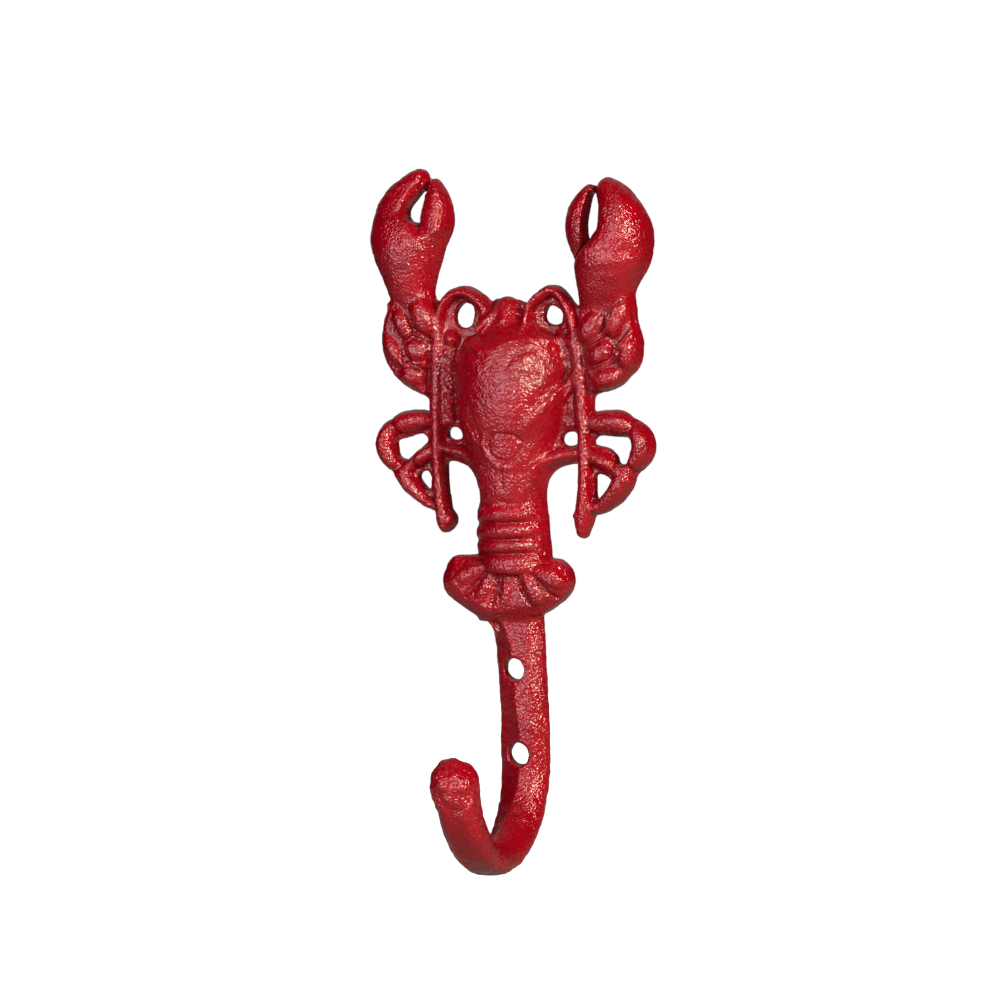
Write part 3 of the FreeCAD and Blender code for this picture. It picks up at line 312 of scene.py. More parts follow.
# Knuckle pillows: centre x, z, half length, half width, turn in degrees, height, section power
PILLOWS = [
    (-20.36, 102.62, 6.11, 3.69, -70.1, 8.4, 2.7), (-25.79, 101.23, 5.22, 2.65, -66, 8, 2.7),
    (-22.45, 94.2, 3.95, 3.26, -65.8, 8, 2.8), (-28.59, 94.24, 5.86, 2.39, -60.8, 7.6, 2.7),
    (-24.03, 87.8, 3.95, 3.21, -31, 7.7, 2.8), (25.5, 97.64, 5.73, 3.69, -131.6, 8, 2.7),
    (32.42, 99.04, 6.11, 2.5, -113.2, 8.2, 2.7), (27.36, 90.99, 4.71, 3.16, 27.5, 8.2, 2.7),
    (34.23, 90.66, 5.35, 2.7, -103.7, 7.9, 2.7), (28.6, 84.76, 4.58, 3, 17.1, 7.8, 2.7),
]
PILLOW_OUTLINE = 2.3        # power of the oval outline
# Shank: z, left edge, right edge, ridge line
SHANK_Z = np.arange(30, -15, -2)
SHANK_LEFT = [
    -6.49, -6.49, -6.49, -6.49, -6.46, -6.23, -6.02, -5.91, -5.8, -5.71, -5.64, -5.56, -5.52,
    -5.49, -5.47, -5.48, -5.49, -5.54, -5.62, -5.7, -5.85, -6, -6.15]
SHANK_RIGHT = [
    7.65, 7.65, 7.65, 7.68, 7.71, 7.75, 7.77, 7.8, 7.81, 7.83, 7.84, 7.86, 7.87, 7.9, 7.94, 7.97,
    7.96, 7.96, 7.95, 7.89, 7.81, 7.74, 7.58]
SHANK_RIDGE = [
    -2.54, -2.54, -2.54, -2.54, -1.74, -0.91, -0.4, 0, 0.09, 0.18, 0.27, 0.38, 0.52, 0.67, 0.81,
    0.99, 1.16, 1.31, 1.27, 1.2, 1.01, 0.83, 0.64]
SHANK_TOP, SHANK_HALF_DEPTH = 29.0, 3.15
SCREW_HOLES = [(0.0, 11.0, 2.9), (0.3, -11.0, 3.0)]        # x, z, radius
SCREW_RIM = 1.1             # rounding that thick paint leaves
# J bend: centre of its middle line, radii out and up, and the angle it turns through
BEND_OUT, BEND_Z, BEND_RADIUS_OUT, BEND_RADIUS_Z, BEND_END = 25.5, -13.0, 22.35, 20.7, 180.0
# angle, x, half width, half thickness, roundness, ridge, left bevel, right bevel
BEND = np.array([
    (0, 1.0, 6.7, 3.15, 0.0, 0.3, -0.5, -0.5), (20, 0.6, 6.8, 3.3, 0.1, 0.0, 0.2, -0.2),
    (45, 0.15, 6.6, 3.7, 0.25, -0.6, 1.2, 0.2), (70, -0.1, 6.3, 4.0, 0.35, -1.2, 2.8, 0.7),
    (90, -0.15, 6.1, 4.1, 0.35, -1.6, 3.8, 1.0), (110, 0.15, 6.1, 4.2, 0.25, -2.0, 4.0, 1.2),
    (135, 0.45, 5.85, 4.6, 0.2, -2.3, 3.2, 1.4), (160, 0.3, 5.6, 5.0, 0.3, -2.4, 2.6, 1.6),
    (180, -0.4, 5.5, 5.4, 0.8, -2.0, 2.2, 1.8)])
TIP_CENTRE, TIP_RADII = (-1.05, 47.9, -12.1), (5.8, 6.2, 6.1)      # ball end: x, out, z
# Cast skin: height, size, seed; and extra lumps at the tip: place, reach, height, size, seed
SKIN = [(0.28, 7.0, 1), (0.20, 2.6, 2), (0.15, 1.3, 3), (0.10, 0.8, 4)]
LUMPS = [
    ((-0.9, 47.5, -13.0), 10.0, 1.6, 3.4, 8), ((-0.9, 47.5, -13.0), 9.0, 0.8, 1.9, 11),
    ((-0.6, 46.5, -22.0), 7.0, 0.45, 2.6, 9)]
WRINKLE_HEIGHT, WRINKLE_SEED = 0.22, 5
TARGET_FACES = 198000       # triangles left after reduction

# ------------------------------------------------------------ sculpting on a grid
STEP = 0.36
GRID_LOW = np.array([-38.9, -1.44, -41.8])                  # x, out, z
GRID_COUNT = (231, 161, 512)
AXES = [low + STEP * np.arange(count) for low, count in zip(GRID_LOW, GRID_COUNT)]
field = np.full(GRID_COUNT, 9.0, np.float32)                # distance to the casting, inside < 0


def curve(points, spacing=0.5):
    """A smooth line through the points; every column is carried along with the place."""
    points = np.asarray(points, float)
    if len(points) == 2:
        length = np.hypot(*(points[1, :2] - points[0, :2]))
        share = np.linspace(0, 1, max(int(length / spacing), 2) + 1)[:, None]
        return points[0] + (points[1] - points[0]) * share
    padded = np.vstack([2 * points[0] - points[1], points, 2 * points[-1] - points[-2]])
    pieces = []
    for before, start, end, after in zip(padded, padded[1:], padded[2:], padded[3:]):
        count = max(int(np.hypot(*(end[:2] - start[:2])) / spacing), 2)
        share = np.linspace(0, 1, count, endpoint=False)[:, None]
        pieces.append(0.5 * (
            2 * start + (end - before) * share
            + (2 * before - 5 * start + 4 * end - after) * share ** 2
            + (3 * start - before - 3 * end + after) * share ** 3))
    return np.vstack(pieces + [points[-1:]])


def window(*limits):
    """Grid slices for (x, x, out, out, z, z) limits, and the coordinates along each."""
    box = []
    for i in range(3):
        low, high = ((limit - GRID_LOW[i]) // STEP for limit in limits[2 * i:2 * i + 2])
        box.append(slice(int(np.clip(low, 0, GRID_COUNT[i] - 2)),
                         int(np.clip(high + 2, 1, GRID_COUNT[i]))))
    return tuple(box), *(axis[part] for axis, part in zip(AXES, box))


def window_around(points, margin, top, bottom=-2):
    x, z = np.asarray(points)[:, :2].T
    return window(x.min() - margin, x.max() + margin, bottom, top,
                  z.min() - margin, z.max() + margin)


def smin(first, second, blend):
    near = np.maximum(blend - np.abs(first - second), 0) / blend
    return np.minimum(first, second) - near * near * blend * 0.25


def smax(first, second, blend):
    return -smin(-first, -second, blend)


def unite(box, distance, blend):
    field[box] = smin(field[box], distance.astype(np.float32), blend)


def cut(box, distance, blend):
    field[box] = smax(field[box], distance.astype(np.float32), blend)


def nearest(line, x, z):
    """In-plane distance to a line, the side of it, and its other columns at the nearest place."""
    x, z = np.meshgrid(x, z, indexing="ij")
    best = np.full(x.shape, 1e9)
    carried = np.zeros(x.shape + (line.shape[1] - 2,))
    side = np.zeros(x.shape)
    for start, end in zip(line[:-1], line[1:]):
        along = end[:2] - start[:2]
        square = max(float(along @ along), 1e-9)
        share = ((x - start[0]) * along[0] + (z - start[1]) * along[1]) / square
        share = np.clip(share, 0, 1)
        off_x, off_z = x - start[0] - share * along[0], z - start[1] - share * along[1]
        distance = np.hypot(off_x, off_z)
        closer = distance < best
        best = np.where(closer, distance, best)
        side = np.where(closer, np.sign(off_x * along[1] - off_z * along[0]), side)
        here = start[2:] + share[..., None] * (end[2:] - start[2:])
        carried = np.where(closer[..., None], here, carried)
    return best, side, carried


def polygon(points, x, z):
    """Signed distance to a smoothed closed outline, negative inside."""
    points = np.asarray(points, float)
    line = curve(np.vstack([points[-2:], points, points[:2]]))
    # one full turn: between the two passes through the first point
    gap = np.hypot(*(line - points[0]).T)
    half = len(line) // 2
    line = line[int(np.argmin(gap[:half])):half + int(np.argmin(gap[half:]))]
    x, z = np.meshgrid(x, z, indexing="ij")
    best = np.full(x.shape, 1e9)
    inside = np.zeros(x.shape, bool)
    for (x0, z0), (x1, z1) in zip(line, np.roll(line, -1, 0)):
        dx, dz = x1 - x0, z1 - z0
        square = max(dx * dx + dz * dz, 1e-12)
        share = np.clip(((x - x0) * dx + (z - z0) * dz) / square, 0, 1)
        best = np.minimum(best, np.hypot(x - x0 - share * dx, z - z0 - share * dz))
        crosses = (z0 > z) != (z1 > z)
        inside ^= crosses & (x < x0 + (z - z0) * dx / (dz if dz else 1e-12))
    return np.where(inside, -best, best)


def pchip(stations, values, places):
    """Monotone cubic through the stations, held at the ends."""
    gaps = np.diff(stations)
    rises = np.diff(values) / gaps
    slopes = np.zeros(len(stations))
    for i in range(1, len(stations) - 1):
        if rises[i - 1] * rises[i] > 0:
            before, after = 2 * gaps[i] + gaps[i - 1], gaps[i] + 2 * gaps[i - 1]
            slopes[i] = (before + after) / (before / rises[i - 1] + after / rises[i])
    slopes[0], slopes[-1] = rises[0], rises[-1]
    places = np.clip(places, stations[0], stations[-1])
    i = np.clip(np.searchsorted(stations, places) - 1, 0, len(gaps) - 1)
    s = (places - stations[i]) / gaps[i]
    return (values[i] * (1 + 2 * s) * (1 - s) ** 2 + gaps[i] * slopes[i] * s * (1 - s) ** 2
            + values[i + 1] * s * s * (3 - 2 * s) + gaps[i] * slopes[i + 1] * s * s * (s - 1))


def dome(across, half, height, out, power):
    """Distance-like value of a rounded front; across is 1 at the edge."""
    half, height = (np.broadcast_to(v, across.shape)[:, None, :] for v in (half, height))
    across = np.maximum(across, 1e-4)[:, None, :]
    rise = np.maximum(out, 0)[None, :, None] / height
    radius = (across ** power + rise ** power) ** (1.0 / power)
    slope_across = (across / radius) ** (power - 1) / half
    slope_out = (rise / radius) ** (power - 1) / height
    slope = np.sqrt(slope_across * slope_across + slope_out * slope_out + 1e-6)
    return (radius - 1) / slope


def stroke(rows, power, blend, shift=0.0):
    """A limb on the wall; shift moves its crest sideways, as a share of the half width."""
    line = curve(rows)
    box, x, out, z = window_around(line, line[:, 2].max() + 3.0, line[:, 3].max() + 3)
    distance, side, carried = nearest(line, x, z)
    half, height = carried[..., 0], carried[..., 1]
    across = distance / half
    if shift:
        offset = distance * side
        crest = shift * half
        shifted = np.where(offset > crest, (offset - crest) / (half - crest),
                           (crest - offset) / (half + crest))
        across = np.where(distance > half, across, shifted)
    unite(box, dome(across, half, height, out, power), blend)


def mass(power, blend, rows):
    """A body built up the z axis."""
    rows = np.array(sorted(rows), float)
    levels = rows[:, 0]
    box, x, out, z = window(rows[:, 1].min() - 3, rows[:, 2].max() + 3, -2,
                            rows[:, 4].max() + 3, levels[0] - 2, levels[-1] + 2)
    left, right, crest, height = (pchip(levels, column, z) for column in rows[:, 1:].T)
    x = x[:, None]
    across = np.where(x > crest, (x - crest) / np.maximum(right - crest, 0.3),
                      (crest - x) / np.maximum(crest - left, 0.3))
    across = np.maximum(across, 1e-4)[:, None, :]
    rise = np.maximum(out, 0)[None, :, None] / np.maximum(height, 0.5)
    distance = (across ** power + rise ** power) ** (1.0 / power) - 1
    slope = np.gradient(distance, STEP)
    slope = np.sqrt(slope[0] ** 2 + slope[1] ** 2 + slope[2] ** 2)
    beyond = np.maximum(levels[0] - z, z - levels[-1])
    beyond = np.where(beyond > 0, beyond, -99.0)
    unite(box, np.maximum(distance / np.clip(slope, 0.06, 3.0), beyond), blend)


def plate(points, height, blend, edge, bevel=0.0):
    box, x, out, z = window_around(points, 3, height + 3)
    outline = polygon(points, x, z)[:, None, :]
    out = (out - height)[None, :, None]
    distance = smax(outline, out, edge)
    if bevel:
        distance = smax(distance, (outline + (out + bevel)) / math.sqrt(2), 0.7)
    unite(box, distance, blend)


def opening(points, rim):
    """A hole through the relief with rounded rims."""
    box, x, out, z = window_around(points, 3, 20)
    flare = OPENING_FLARE * np.maximum(out, 0)[None, :, None]
    cut(box, -polygon(points, x, z)[:, None, :] + flare, rim)


def carve(points, width, depth):
    """A soft groove (depth > 0) or a raised line (depth < 0)."""
    line = curve(points, 0.4)
    box, x, _, z = window_around(line, width * 3, 20, bottom=1.0)
    distance, _, carried = nearest(line, x, z)
    change = depth * carried[..., 0] * np.exp(-(distance / width) ** 2)
    field[box] += change[:, None, :].astype(np.float32)


def blob(centre_x, centre_z, half_x, half_z, height):
    box, x, out, z = window(centre_x - half_x - 2, centre_x + half_x + 2, -2, height + 3,
                            centre_z - half_z - 2, centre_z + half_z + 2)
    across = np.hypot((x[:, None] - centre_x) / half_x, (z[None, :] - centre_z) / half_z)
    unite(box, dome(across, min(half_x, half_z), height, out, 2.0), 1.0)


def pillow(centre_x, centre_z, length, width, turn, height, power):
    """A padded knuckle: an oval dome turned in the wall plane."""
    reach = max(length, width) + 2
    box, x, out, z = window(centre_x - reach, centre_x + reach, -2, height + 3,
                            centre_z - reach, centre_z + reach)
    cos, sin = math.cos(math.radians(turn)), math.sin(math.radians(turn))
    dx, dz = x[:, None] - centre_x, z[None, :] - centre_z
    along, aside = dx * cos + dz * sin, -dx * sin + dz * cos
    across = ((np.abs(along) / length) ** PILLOW_OUTLINE
              + (np.abs(aside) / width) ** PILLOW_OUTLINE) ** (1 / PILLOW_OUTLINE)
    unite(box, dome(across, min(length, width), height, out, power), 0.6)


def ellipsoid(offsets, radii):
    pairs = list(zip(offsets, radii))
    scaled = np.sqrt(sum((d / r) ** 2 for d, r in pairs))
    slope = np.sqrt(sum((d / (r * r)) ** 2 for d, r in pairs)) + 1e-6
    return scaled * (scaled - 1) / slope


def hook():
    """Shank and J bend: a flat-backed bar with a ridge line, swept along its middle line."""
    rows = []      # out, z, x, half width, half thickness, roundness, ridge, left, right bevel
    for z in np.arange(SHANK_TOP, BEND_Z, -1.5):
        left, right, ridge = (float(np.interp(z, SHANK_Z[::-1], column[::-1]))
                              for column in (SHANK_LEFT, SHANK_RIGHT, SHANK_RIDGE))
        centre = (left + right) / 2
        rows.append((SHANK_HALF_DEPTH, z, centre, (right - left) / 2, SHANK_HALF_DEPTH, 0.0,
                     ridge - centre, -0.5, -0.5))
    for angle in np.arange(0, BEND_END + 0.1, 3.0):
        turn = math.radians(angle)
        rows.append((BEND_OUT - BEND_RADIUS_OUT * math.cos(turn),
                     BEND_Z - BEND_RADIUS_Z * math.sin(turn),
                     *(float(np.interp(angle, BEND[:, 0], column)) for column in BEND[:, 1:].T)))
    box, x, out, z = window(-11, 12, -2, 58, -42, SHANK_TOP)
    distance, side, carried = nearest(np.array(rows), out, z)
    centre, half, thick, roundness, ridge, bevel_l, bevel_r = np.moveaxis(carried, -1, 0)[:, None]
    across = x[:, None, None] - centre
    rise = (-side * distance)[None] + 0 * across    # towards the room, then the middle of the J
    # left bevel, front face and right bevel run between these corners
    corners = [(-half, -thick + 1.5), (ridge, thick), (half * 0.62, thick - 0.55),
               (half, -thick + 2.4)]
    faces = []
    for start, end in zip(corners[:-1], corners[1:]):
        dx, dz = end[0] - start[0], end[1] - start[1]
        length = np.sqrt(dx * dx + dz * dz)
        faces.append(((rise - start[1]) * dx - (across - start[0]) * dz) / length)
    faces += [-across - half, across - half, -rise - thick]     # left wall, right wall, back
    # outer side of the bend: a broad bevel on the left, a small one on the right
    faces += [(bevel_l - (across + half) - (rise + thick)) / math.sqrt(2),
              (bevel_r - (half - across) - (rise + thick)) / math.sqrt(2)]
    bar = faces[0]
    for face, blend in zip(faces[1:], (0.45, 1.2, 1.2, 0.8, 0.8, 0.7, 1.2)):
        bar = smax(bar, face, blend)
    oval = ellipsoid((across, rise), (half, thick))
    unite(box, (1 - roundness) * bar + roundness * oval, 0.9)


def tip():
    limits = [c + s * (r + 3) for c, r in zip(TIP_CENTRE, TIP_RADII) for s in (-1, 1)]
    box, x, out, z = window(*limits)
    places = x[:, None, None], out[None, :, None], z[None, None, :]
    offsets = [place - centre for place, centre in zip(places, TIP_CENTRE)]
    unite(box, ellipsoid(offsets, TIP_RADII), 2.2)


def screw_hole(centre_x, centre_z, radius):
    box, x, _, z = window(-6, 6, -2, 10, centre_z - 6, centre_z + 6)
    distance = radius - np.hypot(x[:, None] - centre_x, z[None, :] - centre_z)
    cut(box, distance[:, None, :], SCREW_RIM)


for points in (WEB, LEG_PLATE_L, LEG_PLATE_R):
    plate(points, WEB_HEIGHT, blend=0.5, edge=1.0)
for points in (ARM_PLATE_L, ARM_PLATE_R):
    plate(points, ARM_PLATE_HEIGHT, blend=0.8, edge=1.6)
for name, rows in STROKES.items():
    kind = "leg" if name.startswith("leg") else name.split("_")[0]
    stroke(rows, *STROKE_STYLES[kind])
for row in PILLOWS:
    pillow(*row)
for row in MASSES.values():
    mass(*row)
plate(FAN_PLATE, FAN_PLATE_HEIGHT, blend=0.7, edge=1.2, bevel=3.2)
for rows in FAN:
    stroke(rows, power=3.0, blend=0.5)
for row in BLOBS:
    blob(*row)
for row in GROOVES:
    carve(*row)
hook()
tip()
for row in OPENINGS.values():
    opening(*row)
for row in SCREW_HOLES:
    screw_hole(*row)
# flat back against the wall
cut(..., -AXES[1][None, :, None], 0.5)


# ------------------------------------------------------------ from grid to mesh
def mend():
    """Fills a corner wherever solid cells touch along an edge only: the skin never meets itself."""
    for _ in range(4):
        count = 0
        for p, q in ((0, 1), (0, 2), (1, 2)):
            def part(i, j):
                slices = [slice(None)] * 3
                slices[p] = slice(i, GRID_COUNT[p] - 1 + i)
                slices[q] = slice(j, GRID_COUNT[q] - 1 + j)
                return tuple(slices)
            a, b, c, d = (field[part(i, j)] < 0 for i, j in ((0, 0), (1, 0), (0, 1), (1, 1)))
            for bad, at in ((a & d & ~b & ~c, (1, 0)), (b & c & ~a & ~d, (0, 0))):
                field[part(*at)][bad] = -1e-3
                count += int(bad.sum())
        if not count:
            break


def surface():
    """Surface nets: one vertex per crossed cell, one quad per crossed edge."""
    solid = field < 0
    size = np.array(GRID_COUNT) - 1
    corners = list(product((0, 1), repeat=3))
    filled = np.zeros(tuple(size), np.uint8)
    for i, j, k in corners:
        filled += solid[i:size[0] + i, j:size[1] + j, k:size[2] + k]
    active = (filled > 0) & (filled < 8)
    cells = np.argwhere(active)
    ids = np.full(tuple(size), -1, np.int32)
    ids[active] = np.arange(len(cells))
    values = {c: field[tuple((cells + c).T)] for c in corners}
    total = np.zeros((len(cells), 3))
    count = np.zeros(len(cells))
    for start in corners:
        for axis in range(3):
            if start[axis]:
                continue
            end = tuple(1 if i == axis else start[i] for i in range(3))
            a, b = values[start], values[end]
            crossed = (a < 0) != (b < 0)
            place = np.zeros((len(cells), 3)) + np.array(start)
            place[:, axis] += np.where(crossed, a / np.where(crossed, a - b, 1), 0)
            total += np.where(crossed[:, None], place, 0)
            count += crossed
    quads = []
    for axis in range(3):
        others = [i for i in range(3) if i != axis]
        lower = [slice(1, size[i]) for i in range(3)]
        upper = list(lower)
        lower[axis], upper[axis] = slice(0, size[axis]), slice(1, size[axis] + 1)
        a, b = solid[tuple(lower)], solid[tuple(upper)]
        for flip, crossed in ((False, a & ~b), (True, ~a & b)):
            edge = np.argwhere(crossed)
            edge[:, others] += 1
            ring = []
            for shift in ((0, 0), (-1, 0), (-1, -1), (0, -1)):
                cell = edge.copy()
                cell[:, others] += shift
                ring.append(ids[tuple(cell.T)])
            ring = np.stack(ring, 1)
            quads.append(ring[:, ::-1] if (axis != 1) == flip else ring)
    return GRID_LOW + STEP * (cells + total / count[:, None]), np.vstack(quads)


def smooth(verts, edges, rounds, strengths):
    size = len(verts)
    start, end = edges.T
    count = np.bincount(start, minlength=size) + np.bincount(end, minlength=size)
    for strength in strengths * rounds:
        total = np.zeros_like(verts)
        for i in range(3):
            total[:, i] = (np.bincount(start, verts[end, i], size)
                           + np.bincount(end, verts[start, i], size))
        verts = verts + strength * (total / count[:, None] - verts)
    return verts


def normals(verts, quads):
    area = np.cross(verts[quads[:, 2]] - verts[quads[:, 0]], verts[quads[:, 3]] - verts[quads[:, 1]])
    total = np.zeros_like(verts)
    for k, i in product(range(4), range(3)):
        total[:, i] += np.bincount(quads[:, k], area[:, i], len(verts))
    return total / (np.linalg.norm(total, axis=1, keepdims=True) + 1e-12)


random = np.random.default_rng(7)
SHUFFLE = random.permutation(256)
GRADIENTS = random.normal(size=(256, 3))
GRADIENTS /= np.linalg.norm(GRADIENTS, axis=1, keepdims=True)


def noise(places, size, seed):
    """Gradient noise."""
    places = places / size + seed * 17.31
    cell = np.floor(places).astype(np.int64)
    f = places - cell
    fade = f * f * f * (f * (f * 6 - 15) + 10)
    total = np.zeros(len(places))
    for corner in product((0, 1), repeat=3):
        pick = 0
        for i in range(3):
            pick = SHUFFLE[(pick + cell[:, i] + corner[i]) & 255]
        g = GRADIENTS[pick]
        x, y, z = (g[:, i] * (f[:, i] - corner[i]) for i in range(3))
        wx, wy, wz = (fade[:, i] if corner[i] else 1 - fade[:, i] for i in range(3))
        total += wx * wy * wz * (x + y + z)
    return total


def cast_skin(verts):
    """Height of the uneven cast skin at each point."""
    skin = 0.0
    for height, size, seed in SKIN:
        skin = skin + height * noise(verts, size, seed)
    for place, reach, height, size, seed in LUMPS:
        distance = np.sqrt(((verts - place) ** 2).sum(1))
        skin = skin + height * np.clip(1.6 - 1.6 * distance / reach, 0, 1) * noise(verts, size, seed)
    # drawn wrinkles on the bend, running up to the right
    x, out, z = verts.T
    low = np.clip((-17.0 - z) / 6.0, 0, 1) * np.clip((46.0 - out) / 10.0, 0, 1)
    drag = np.stack([(x * 0.64 + z * 0.77) / 5.5, out / 3.0, (x * 0.77 - z * 0.64) / 0.95], 1)
    return skin + WRINKLE_HEIGHT * low * noise(drag, 1.0, WRINKLE_SEED)


mend()
verts, quads = surface()
edges = np.vstack([quads[:, [k, (k + 1) % 4]] for k in range(4)])
verts = smooth(verts, edges, 2, (0.5, -0.52))
normal = normals(verts, quads)
lift = np.clip(verts[:, 1] / 0.8, 0, 1)              # the back stays flat
verts = verts + normal * (cast_skin(verts) * lift)[:, None]
verts[:, 1] = np.maximum(verts[:, 1], 0.0)

# hollows and edges, for the painted shade in hollows and the painted highlight on edges: how far a
# point lies under or over its wider surroundings
wide = smooth(verts, edges, 14, (0.6,))
relief = ((verts - wide) * normal).sum(1)


def build_body():
    mesh = bpy.data.meshes.new("hook_body")
    places = (verts[:, [0, 1, 2]] * (1, -1, 1)).astype(np.float32)
    places *= 0.001
    mesh.vertices.add(len(places))
    mesh.vertices.foreach_set("co", places.ravel())
    mesh.loops.add(quads.size)
    # out is mirrored to y, so the winding turns too
    mesh.loops.foreach_set("vertex_index", quads[:, ::-1].ravel().astype(np.int32))
    mesh.polygons.add(len(quads))
    mesh.polygons.foreach_set("loop_start", np.arange(0, quads.size, 4, dtype=np.int32))
    mesh.update(calc_edges=True)
    mesh.validate()
    attribute = mesh.attributes.new("relief", "FLOAT", "POINT")
    attribute.data.foreach_set("value", np.clip(relief, -1, 1).astype(np.float32))
    body = bpy.data.objects.new("hook_body", mesh)
    bpy.context.scene.collection.objects.link(body)
    reduce = body.modifiers.new("reduce", "DECIMATE")
    reduce.ratio = TARGET_FACES / (2.0 * len(quads))
    graph = bpy.context.evaluated_depsgraph_get()
    reduced = bpy.data.meshes.new_from_object(body.evaluated_get(graph), depsgraph=graph)
    body.modifiers.clear()
    body.data = reduced
    body.data.name = "hook_body"
    body.data.polygons.foreach_set("use_smooth", np.ones(len(body.data.polygons), bool))
    body.data.update()
    return body


body = build_body()

# ------------------------------------------------------------ paint over cast iron
RED_A, RED_B = (0.206, 0.0003, 0.005), (0.266, 0.0005, 0.007)       # cloudy base
# the first colour here is painted shade, the darker red laid into hollows
# the last colour here is a painted highlight, the lighter red laid on proud edges
RED_PAINTED_SHADE, RED_DUST, RED_PAINTED_HIGHLIGHT = (0.125, 0.0003, 0.003), (0.17, 0.0006, 0.005), (0.33, 0.008, 0.010)
ROUGHNESS = (0.06, 0.10)
GLOSS = {"Specular IOR Level": 0.6, "IOR": 1.5, "Coat Weight": 0.0, "Coat Roughness": 0.12}
PEEL_SCALE, PEEL_DEPTH = 1850.0, 0.00027                            # orange peel ripple
GRAIN_SCALE, GRAIN_DEPTH = 3600.0, 0.00006


def set_inputs(node, values):
    for key, value in values.items():
        node.inputs[key].default_value = value


def smooth_range(tree, value, low, high, start, end):
    """Eases from start to end as the value goes from low to high."""
    node = tree.nodes.new("ShaderNodeMapRange")
    node.interpolation_type = "SMOOTHSTEP"
    set_inputs(node, {"From Min": low, "From Max": high, "To Min": start, "To Max": end})
    tree.links.new(value, node.inputs["Value"])
    return node.outputs["Result"]


def paint():
    material = bpy.data.materials.new("painted_iron")
    material.use_nodes = True
    tree = material.node_tree
    tree.nodes.clear()
    node, link = tree.nodes.new, tree.links.new
    output = node("ShaderNodeOutputMaterial")
    shader = node("ShaderNodeBsdfPrincipled")
    link(shader.outputs[0], output.inputs[0])
    place = node("ShaderNodeTexCoord")
    turn = node("ShaderNodeMapping")                   # turns the noise off the object's axes
    turn.inputs["Rotation"].default_value = (0.62, 0.41, 0.93)
    link(place.outputs["Object"], turn.inputs["Vector"])
    relief = node("ShaderNodeAttribute")
    relief.attribute_name = "relief"
    relief = relief.outputs["Fac"]

    def texture(scale, detail, rough=0.6, distortion=0.0):
        texture = node("ShaderNodeTexNoise")
        set_inputs(texture, {"Scale": scale, "Detail": detail, "Roughness": rough,
                             "Distortion": distortion})
        link(turn.outputs["Vector"], texture.inputs["Vector"])
        return texture.outputs["Fac"]

    def mix(factor, base, colour):
        blend = node("ShaderNodeMix")
        blend.data_type = "RGBA"
        link(factor, blend.inputs[0])
        if isinstance(base, tuple):
            blend.inputs[6].default_value = (*base, 1.0)
        else:
            link(base, blend.inputs[6])
        blend.inputs[7].default_value = (*colour, 1.0)
        return blend.outputs[2]

    def bump(distance, **noise_settings):
        bump = node("ShaderNodeBump")
        set_inputs(bump, {"Strength": 1.0, "Distance": distance})
        link(texture(**noise_settings), bump.inputs["Height"])
        return bump

    cloud = smooth_range(tree, texture(90, 3.0, rough=0.5), 0.35, 0.65, 0.0, 1.0)
    base = mix(cloud, RED_A, RED_B)
    # paint lies thick and dark in hollows
    # painted shade: darker red in hollows
    base = mix(smooth_range(tree, relief, -0.02, -0.32, 0.0, 0.75), base, RED_PAINTED_SHADE)
    # fine dust and pinholes
    speck = smooth_range(tree, texture(1500, 2.0), 0.70, 0.78, 0.0, 0.35)
    base = mix(speck, base, RED_DUST)
    # painted highlight: lighter red on proud edges, broken into patches
    edge = smooth_range(tree, relief, 0.16, 0.42, 0.0, 1.0)
    highlight_patches = smooth_range(tree, texture(420, 3.0), 0.50, 0.62, 0.0, 0.55)
    edge_highlight = node("ShaderNodeMath")
    edge_highlight.operation = "MULTIPLY"
    link(edge, edge_highlight.inputs[0])
    link(highlight_patches, edge_highlight.inputs[1])
    link(mix(edge_highlight.outputs[0], base, RED_PAINTED_HIGHLIGHT), shader.inputs["Base Color"])

    rough = smooth_range(tree, texture(300, 3.0), 0.3, 0.7, *ROUGHNESS)
    link(rough, shader.inputs["Roughness"])
    set_inputs(shader, GLOSS)

    peel = bump(PEEL_DEPTH, scale=PEEL_SCALE, detail=0.0, rough=0.5)
    grain = bump(GRAIN_DEPTH, scale=GRAIN_SCALE, detail=2.0, distortion=0.3)
    link(peel.outputs[0], grain.inputs["Normal"])
    link(grain.outputs[0], shader.inputs["Normal"])
    return material


body.data.materials.clear()
body.data.materials.append(paint())
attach(body, "root")
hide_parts("hook_casting")

# the CAD casting is hidden, and still carries the paint
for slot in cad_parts["hook_casting"].material_slots:
    slot.material = body.data.materials[0]

# ------------------------------------------------------------ studio, in metres and degrees
FLOOR_Z, FLOOR_HALF = -0.10, 8.0
AMBIENT = 0.005
BACKDROP = 0.02                     # pale wall behind, seen in grazing reflections only
LIGHT_AIM = (0, 0, 0.05)
LIGHTS = [                          # name, azimuth, elevation, distance, size, power, colour
    ("sheen_left", -14, 4, 0.9, (0.50, 0.80), 7.9, (1.0, 0.88, 0.98)),
    ("key_right", 62, 17, 0.85, (0.19, 0.23), 9.5, (1.0, 0.93, 0.70)),
    ("spot_right", 31, 25, 0.9, (0.10, 0.10), 2.4, (1.0, 0.95, 0.80)),
    ("rim_left_back", -158, 30, 0.9, (0.8, 0.8), 0.5, (1.0, 1.0, 1.0)),
    ("top", 20, 62, 0.9, (0.5, 0.3), 0.8, (1.0, 0.96, 0.90)),
    ("low_front", 0, -38, 0.9, (0.40, 0.24), 3.6, (1.0, 0.93, 0.95)),
    ("floor_bounce", 10, -60, 0.9, (0.35, 0.16), 2.4, (1.0, 0.95, 0.93)),
    ("fill_back", -160, 8, 0.9, (0.7, 0.7), 5.0, (1.0, 0.98, 0.96)),
]
CAMERA_AZIMUTH, CAMERA_ELEVATION, CAMERA_ROLL = 20.0, 2.0, 2.5
CAMERA_DISTANCE, CAMERA_LENS = 0.65, 91.91      # lens in millimetres
CAMERA_AIM = (0.00018, -0.00975, 0.05488)


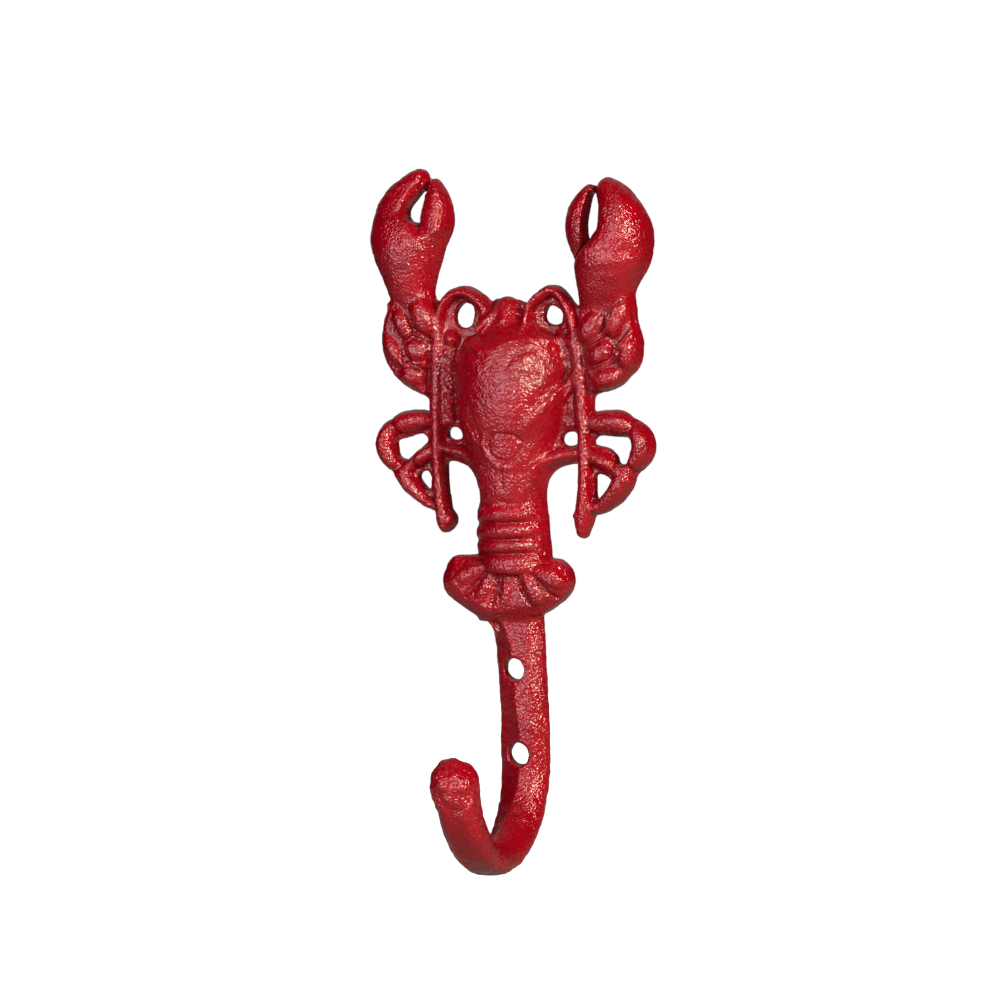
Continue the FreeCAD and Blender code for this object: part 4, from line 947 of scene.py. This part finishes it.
def pale_floor():
    """Matt pale surface that the camera sees as white, without lighting the object from below."""
    material = bpy.data.materials.new("pale_floor")
    material.use_nodes = True
    tree = material.node_tree
    shader = tree.nodes["Principled BSDF"]
    set_inputs(shader, {"Base Color": (0.25, 0.25, 0.25, 1), "Roughness": 0.8,
                        "Emission Color": (1, 1, 1, 1)})
    ray = tree.nodes.new("ShaderNodeLightPath")
    glow = tree.nodes.new("ShaderNodeMath")
    glow.operation = "MULTIPLY"
    glow.inputs[1].default_value = 1.0
    tree.links.new(ray.outputs["Is Camera Ray"], glow.inputs[0])
    tree.links.new(glow.outputs[0], shader.inputs["Emission Strength"])
    return material


def build_floor():
    mesh = bpy.data.meshes.new("floor")
    corners = [(x * FLOOR_HALF, y * FLOOR_HALF, FLOOR_Z)
               for x, y in ((-1, -1), (1, -1), (1, 1), (-1, 1))]
    mesh.from_pydata(corners, [], [(0, 1, 2, 3)])
    floor = bpy.data.objects.new("floor", mesh)
    bpy.context.scene.collection.objects.link(floor)
    mesh.materials.append(pale_floor())


def build_world():
    """White to the camera; to other rays nearly dark, and a little paler behind the wall."""
    world = bpy.data.worlds.new("studio")
    bpy.context.scene.world = world
    world.use_nodes = True
    tree = world.node_tree
    tree.nodes.clear()
    node, link = tree.nodes.new, tree.links.new
    output = node("ShaderNodeOutputWorld")
    seen = node("ShaderNodeBackground")
    set_inputs(seen, {"Color": (1, 1, 1, 1), "Strength": 1.0})
    lit = node("ShaderNodeBackground")
    lit.inputs["Color"].default_value = (1.0, 0.97, 0.95, 1)
    place = node("ShaderNodeTexCoord")
    parts = node("ShaderNodeSeparateXYZ")
    link(place.outputs["Generated"], parts.inputs[0])
    strength = smooth_range(tree, parts.outputs["Y"], 0.5, 0.9, AMBIENT, BACKDROP)
    link(strength, lit.inputs["Strength"])
    ray = node("ShaderNodeLightPath")
    blend = node("ShaderNodeMixShader")
    link(ray.outputs["Is Camera Ray"], blend.inputs[0])
    link(lit.outputs[0], blend.inputs[1])
    link(seen.outputs[0], blend.inputs[2])
    link(blend.outputs[0], output.inputs[0])


def direction(azimuth, elevation):
    """Unit vector; azimuth 0 points to the room and turns to the right."""
    turn, rise = math.radians(azimuth), math.radians(elevation)
    return np.array([math.sin(turn) * math.cos(rise), -math.cos(turn) * math.cos(rise),
                     math.sin(rise)])


def place_object(name, data, axes, aim, distance):
    """Adds an object at a distance from its aim; axes are its right, up and back."""
    thing = bpy.data.objects.new(name, data)
    eye = np.array(aim) + axes[2] * distance
    thing.matrix_world = Matrix([[*(axis[i] for axis in axes), eye[i]] for i in range(3)]
                                + [[0, 0, 0, 1]])
    bpy.context.scene.collection.objects.link(thing)
    return thing


def softbox(name, azimuth, elevation, distance, size, watts, colour):
    lamp = bpy.data.lights.new(name, "AREA")
    lamp.shape = "RECTANGLE"
    lamp.size, lamp.size_y = size
    lamp.energy = watts
    lamp.color = colour
    back = direction(azimuth, elevation)
    side = np.cross(back, [0, 0, 1.0])
    side = -side / np.linalg.norm(side)
    return place_object(name, lamp, (side, np.cross(back, side), back), LIGHT_AIM, distance)


def build_camera():
    back = direction(CAMERA_AZIMUTH, CAMERA_ELEVATION)
    turn, roll = math.radians(CAMERA_AZIMUTH), math.radians(CAMERA_ROLL)
    right = np.array([math.cos(turn), math.sin(turn), 0.0])
    up = np.cross(back, right)
    axes = (math.cos(roll) * right - math.sin(roll) * up,
            math.sin(roll) * right + math.cos(roll) * up, back)
    camera = bpy.data.cameras.new("camera")
    camera.sensor_width = 36.0
    camera.lens = CAMERA_LENS
    camera.clip_start, camera.clip_end = 0.01, 50
    return place_object("camera", camera, axes, CAMERA_AIM, CAMERA_DISTANCE)


build_floor()
build_world()
lamps = [softbox(*row) for row in LIGHTS]
lamps[-1].visible_glossy = False    # lights the wall side without rimming the front
scene = bpy.context.scene
scene.camera = build_camera()
scene.view_settings.view_transform = "Standard"
scene.view_settings.look = "None"
